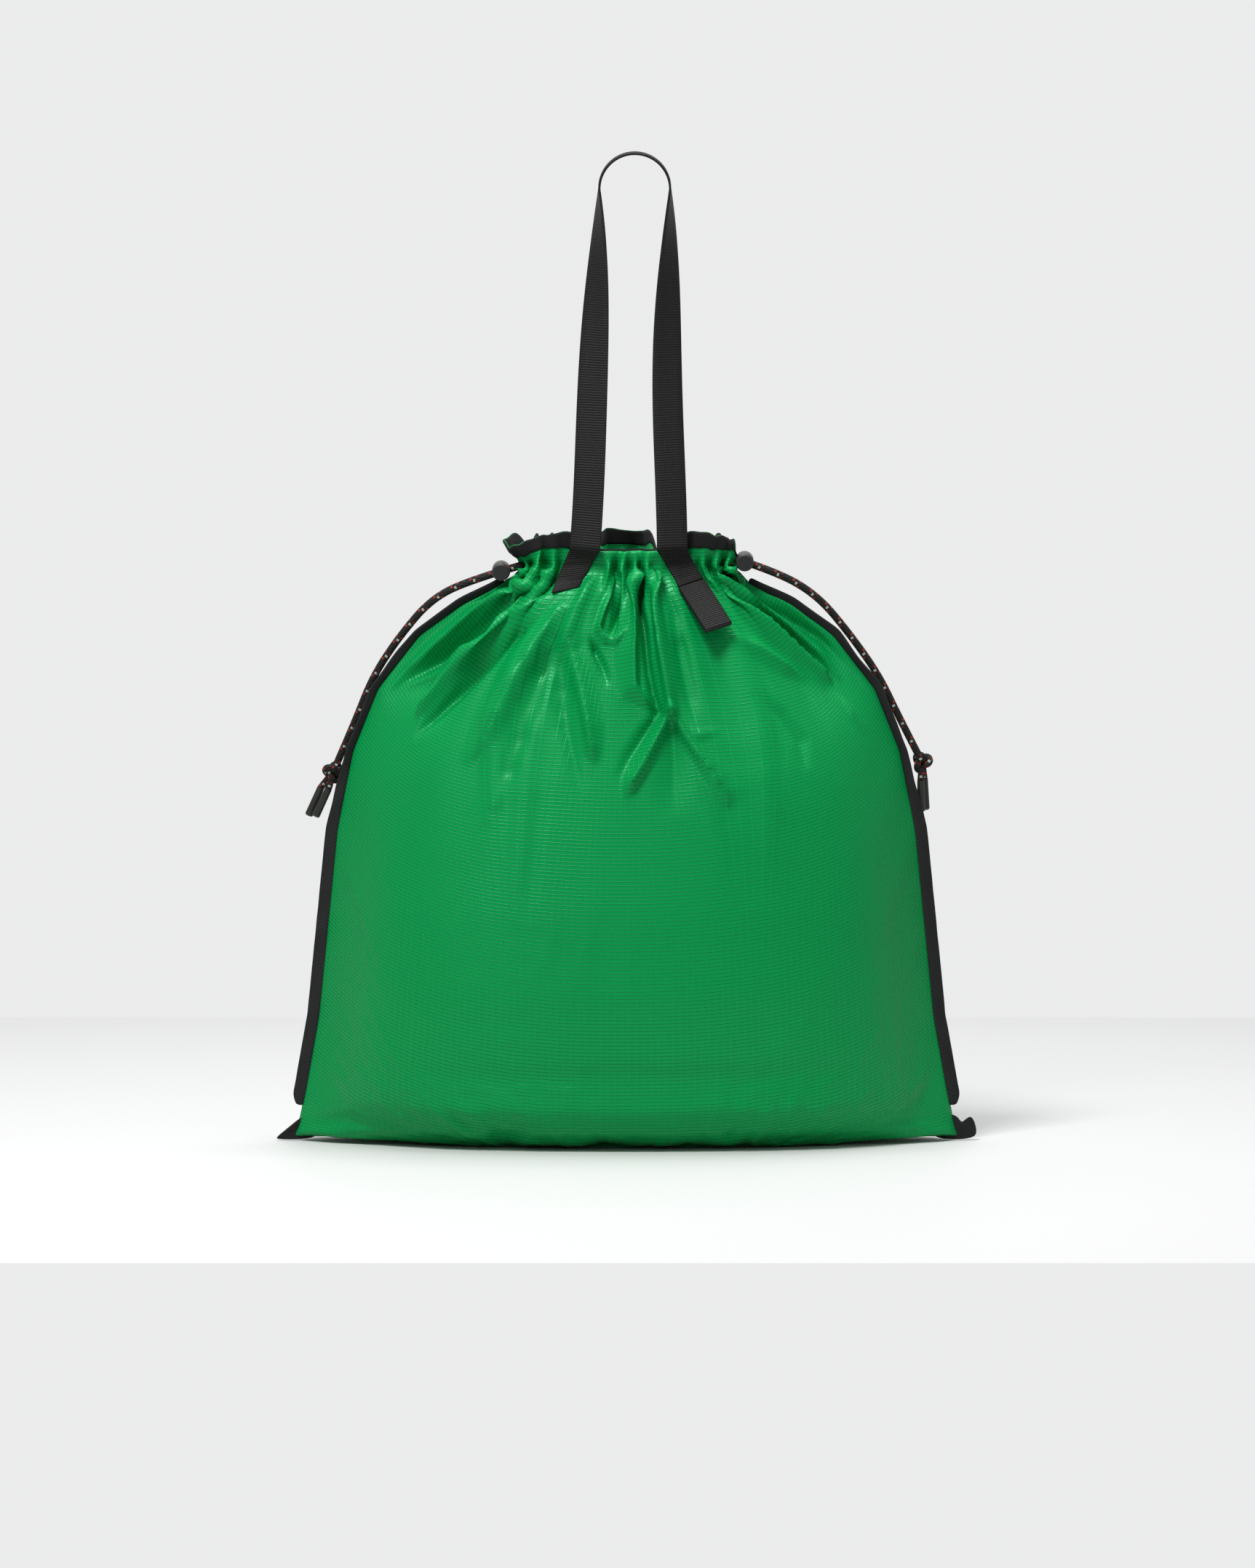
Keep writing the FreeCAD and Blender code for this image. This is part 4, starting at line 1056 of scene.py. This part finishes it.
ANCHOR_STEPS = 32
anchor_stations = {}
for side, (top_left, top_right, low_right, low_left) in ANCHORS.items():
    feet = stations[0] if side == "left" else stations[-1]
    rows = []
    for n in range(ANCHOR_STEPS + 1):
        share = n / ANCHOR_STEPS
        left = Vector(top_left).lerp(Vector(low_left), share)
        right = Vector(top_right).lerp(Vector(low_right), share)
        ends = []
        for spot in (left, right):
            spot_3d, out = on_panel(spot.x, min(spot.y, 0.3745), 0.0001 + WEBBING_THICKNESS / 2)
            spot_3d.z = spot.y
            ends.append((spot_3d, out))
        centre = (ends[0][0] + ends[1][0]) / 2
        across = ends[1][0] - ends[0][0]
        out = (ends[0][1] + ends[1][1]).normalized()
        hold = float(ease(share / 0.42))
        foot_across = feet[1] if side == "left" else -feet[1]
        centre = feet[0].lerp(centre, hold)
        across = foot_across.lerp(across, hold)
        out = (Vector((0, -1, 0)) * (1 - hold) + out * hold).normalized()
        out = (out - across * (out.dot(across) / across.length_squared)).normalized()
        rows.append((centre, across, out))
    anchor_stations[side] = rows
    anchor = webbing_piece(f"sewn_end_{side}", rows)
    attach(anchor, "bag")
    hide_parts(f"strap_anchor_{side}")

thread, tree, shader = new_material("thread", (0.05, 0.05, 0.048), 0.5)
relief(tree, shader, noise(tree, 2500.0, 2.0), 0.4, 0.0001)
THREAD_WIDTH = 0.00042
STITCHES = 7


def stitch(points, faces, a, b, out):
    """One stitch as a low ridge of thread from a to b."""
    side = (b - a).cross(out).normalized() * THREAD_WIDTH / 2
    first = len(points)
    for share, w, h in ((0, 0.3, 0.0), (0.2, 1, 0.8), (0.8, 1, 0.8), (1, 0.3, 0.0)):
        spot = a.lerp(b, share)
        points += [spot - side * w - out * 0.0002, spot + out * (h * THREAD_WIDTH * 0.6),
                   spot + side * w - out * 0.0002]
    for k in range(3):
        c = first + 3 * k
        faces += [(c, c + 1, c + 4, c + 3), (c + 1, c + 2, c + 5, c + 4), (c + 2, c, c + 3, c + 5)]
    faces += [(first, first + 2, first + 1), (first + 9, first + 10, first + 11)]


points, faces = [], []
for side, rows in anchor_stations.items():
    for share in (0.30, 0.84):
        centre, across, out = rows[round(share * ANCHOR_STEPS)]
        for k in range(STITCHES):
            a, b = (centre + across * (-0.42 + 0.84 * (k + end) / STITCHES)
                    + out * (WEBBING_THICKNESS / 2) for end in (0.12, 0.80))
            stitch(points, faces, a, b, out)
stitches = mesh_piece("strap_stitches", points, faces, [(0, 0)] * len(points), thread)
face_outwards(stitches)
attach(stitches, "bag")
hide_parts("strap_stitching")


# The pull tab: the right end's spare webbing, folded back on itself below the last row of
# stitches. It hangs free and can be lifted.
TAB_STEPS = 48
TAB_LAYER = 0.00085       # from the middle of the doubled tab to the middle of one layer
TAB_WIDTH = 0.0196
rows = []
for n in range(TAB_STEPS + 1):
    share = n / TAB_STEPS
    if share <= 0.45:
        down_by, out_by, turned = TAB_LENGTH * share / 0.45, TAB_LAYER, 0.0
    elif share < 0.55:
        turned = math.pi * (share - 0.45) / 0.10
        down_by = TAB_LENGTH + TAB_LAYER * math.sin(turned)
        out_by = TAB_LAYER * math.cos(turned)
    else:
        down_by, out_by, turned = TAB_LENGTH * (1 - share) / 0.45, -TAB_LAYER, math.pi
    spot = TAB_TOP + TAB_DOWN * (0.0004 + down_by) + TAB_OUT * out_by
    out = TAB_OUT * math.cos(turned) + TAB_DOWN * math.sin(turned)
    rows.append((spot, TAB_ACROSS * TAB_WIDTH, out))
tab = webbing_piece("folded_tab", rows)
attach(tab, "tab")
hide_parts("pull_tab")


# The cord locks and moulded ends are made as drawn: a satin barrel with a sprung button
# across the two strands, and slim moulded ends on the cords' tails.
MOULD_GRAIN = 0.0001


def moulded(name, colour, roughness, grain_size):
    """Moulded plastic: fine even texture from the tool, with slight changes in its gloss."""
    plastic, tree, shader = new_material(name, colour, roughness)
    relief(tree, shader, noise(tree, grain_size, 2.0), 0.35, MOULD_GRAIN)
    uneven_gloss(tree, shader, noise(tree, 140.0, 3.0), roughness - 0.05, roughness + 0.07)
    return plastic


finishes = {
    "lock_body": moulded("lock_barrel", (0.030, 0.029, 0.027), 0.42, 2600.0),
    "lock_plunger": moulded("lock_button", (0.013, 0.013, 0.013), 0.48, 3000.0),
    "cord_end": moulded("cord_end", (0.020, 0.021, 0.018), 0.36, 2200.0),
}
spring_wire, tree, shader = new_material("spring_wire", (0.55, 0.55, 0.56), 0.28)
shader.inputs["Metallic"].default_value = 1.0
uneven_gloss(tree, shader, noise(tree, 1800.0, 2.0), 0.22, 0.36)
finishes["lock_spring"] = spring_wire

for name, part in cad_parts.items():
    for start, material in finishes.items():
        if name.startswith(start):
            part.data.materials.clear()
            part.data.materials.append(material)
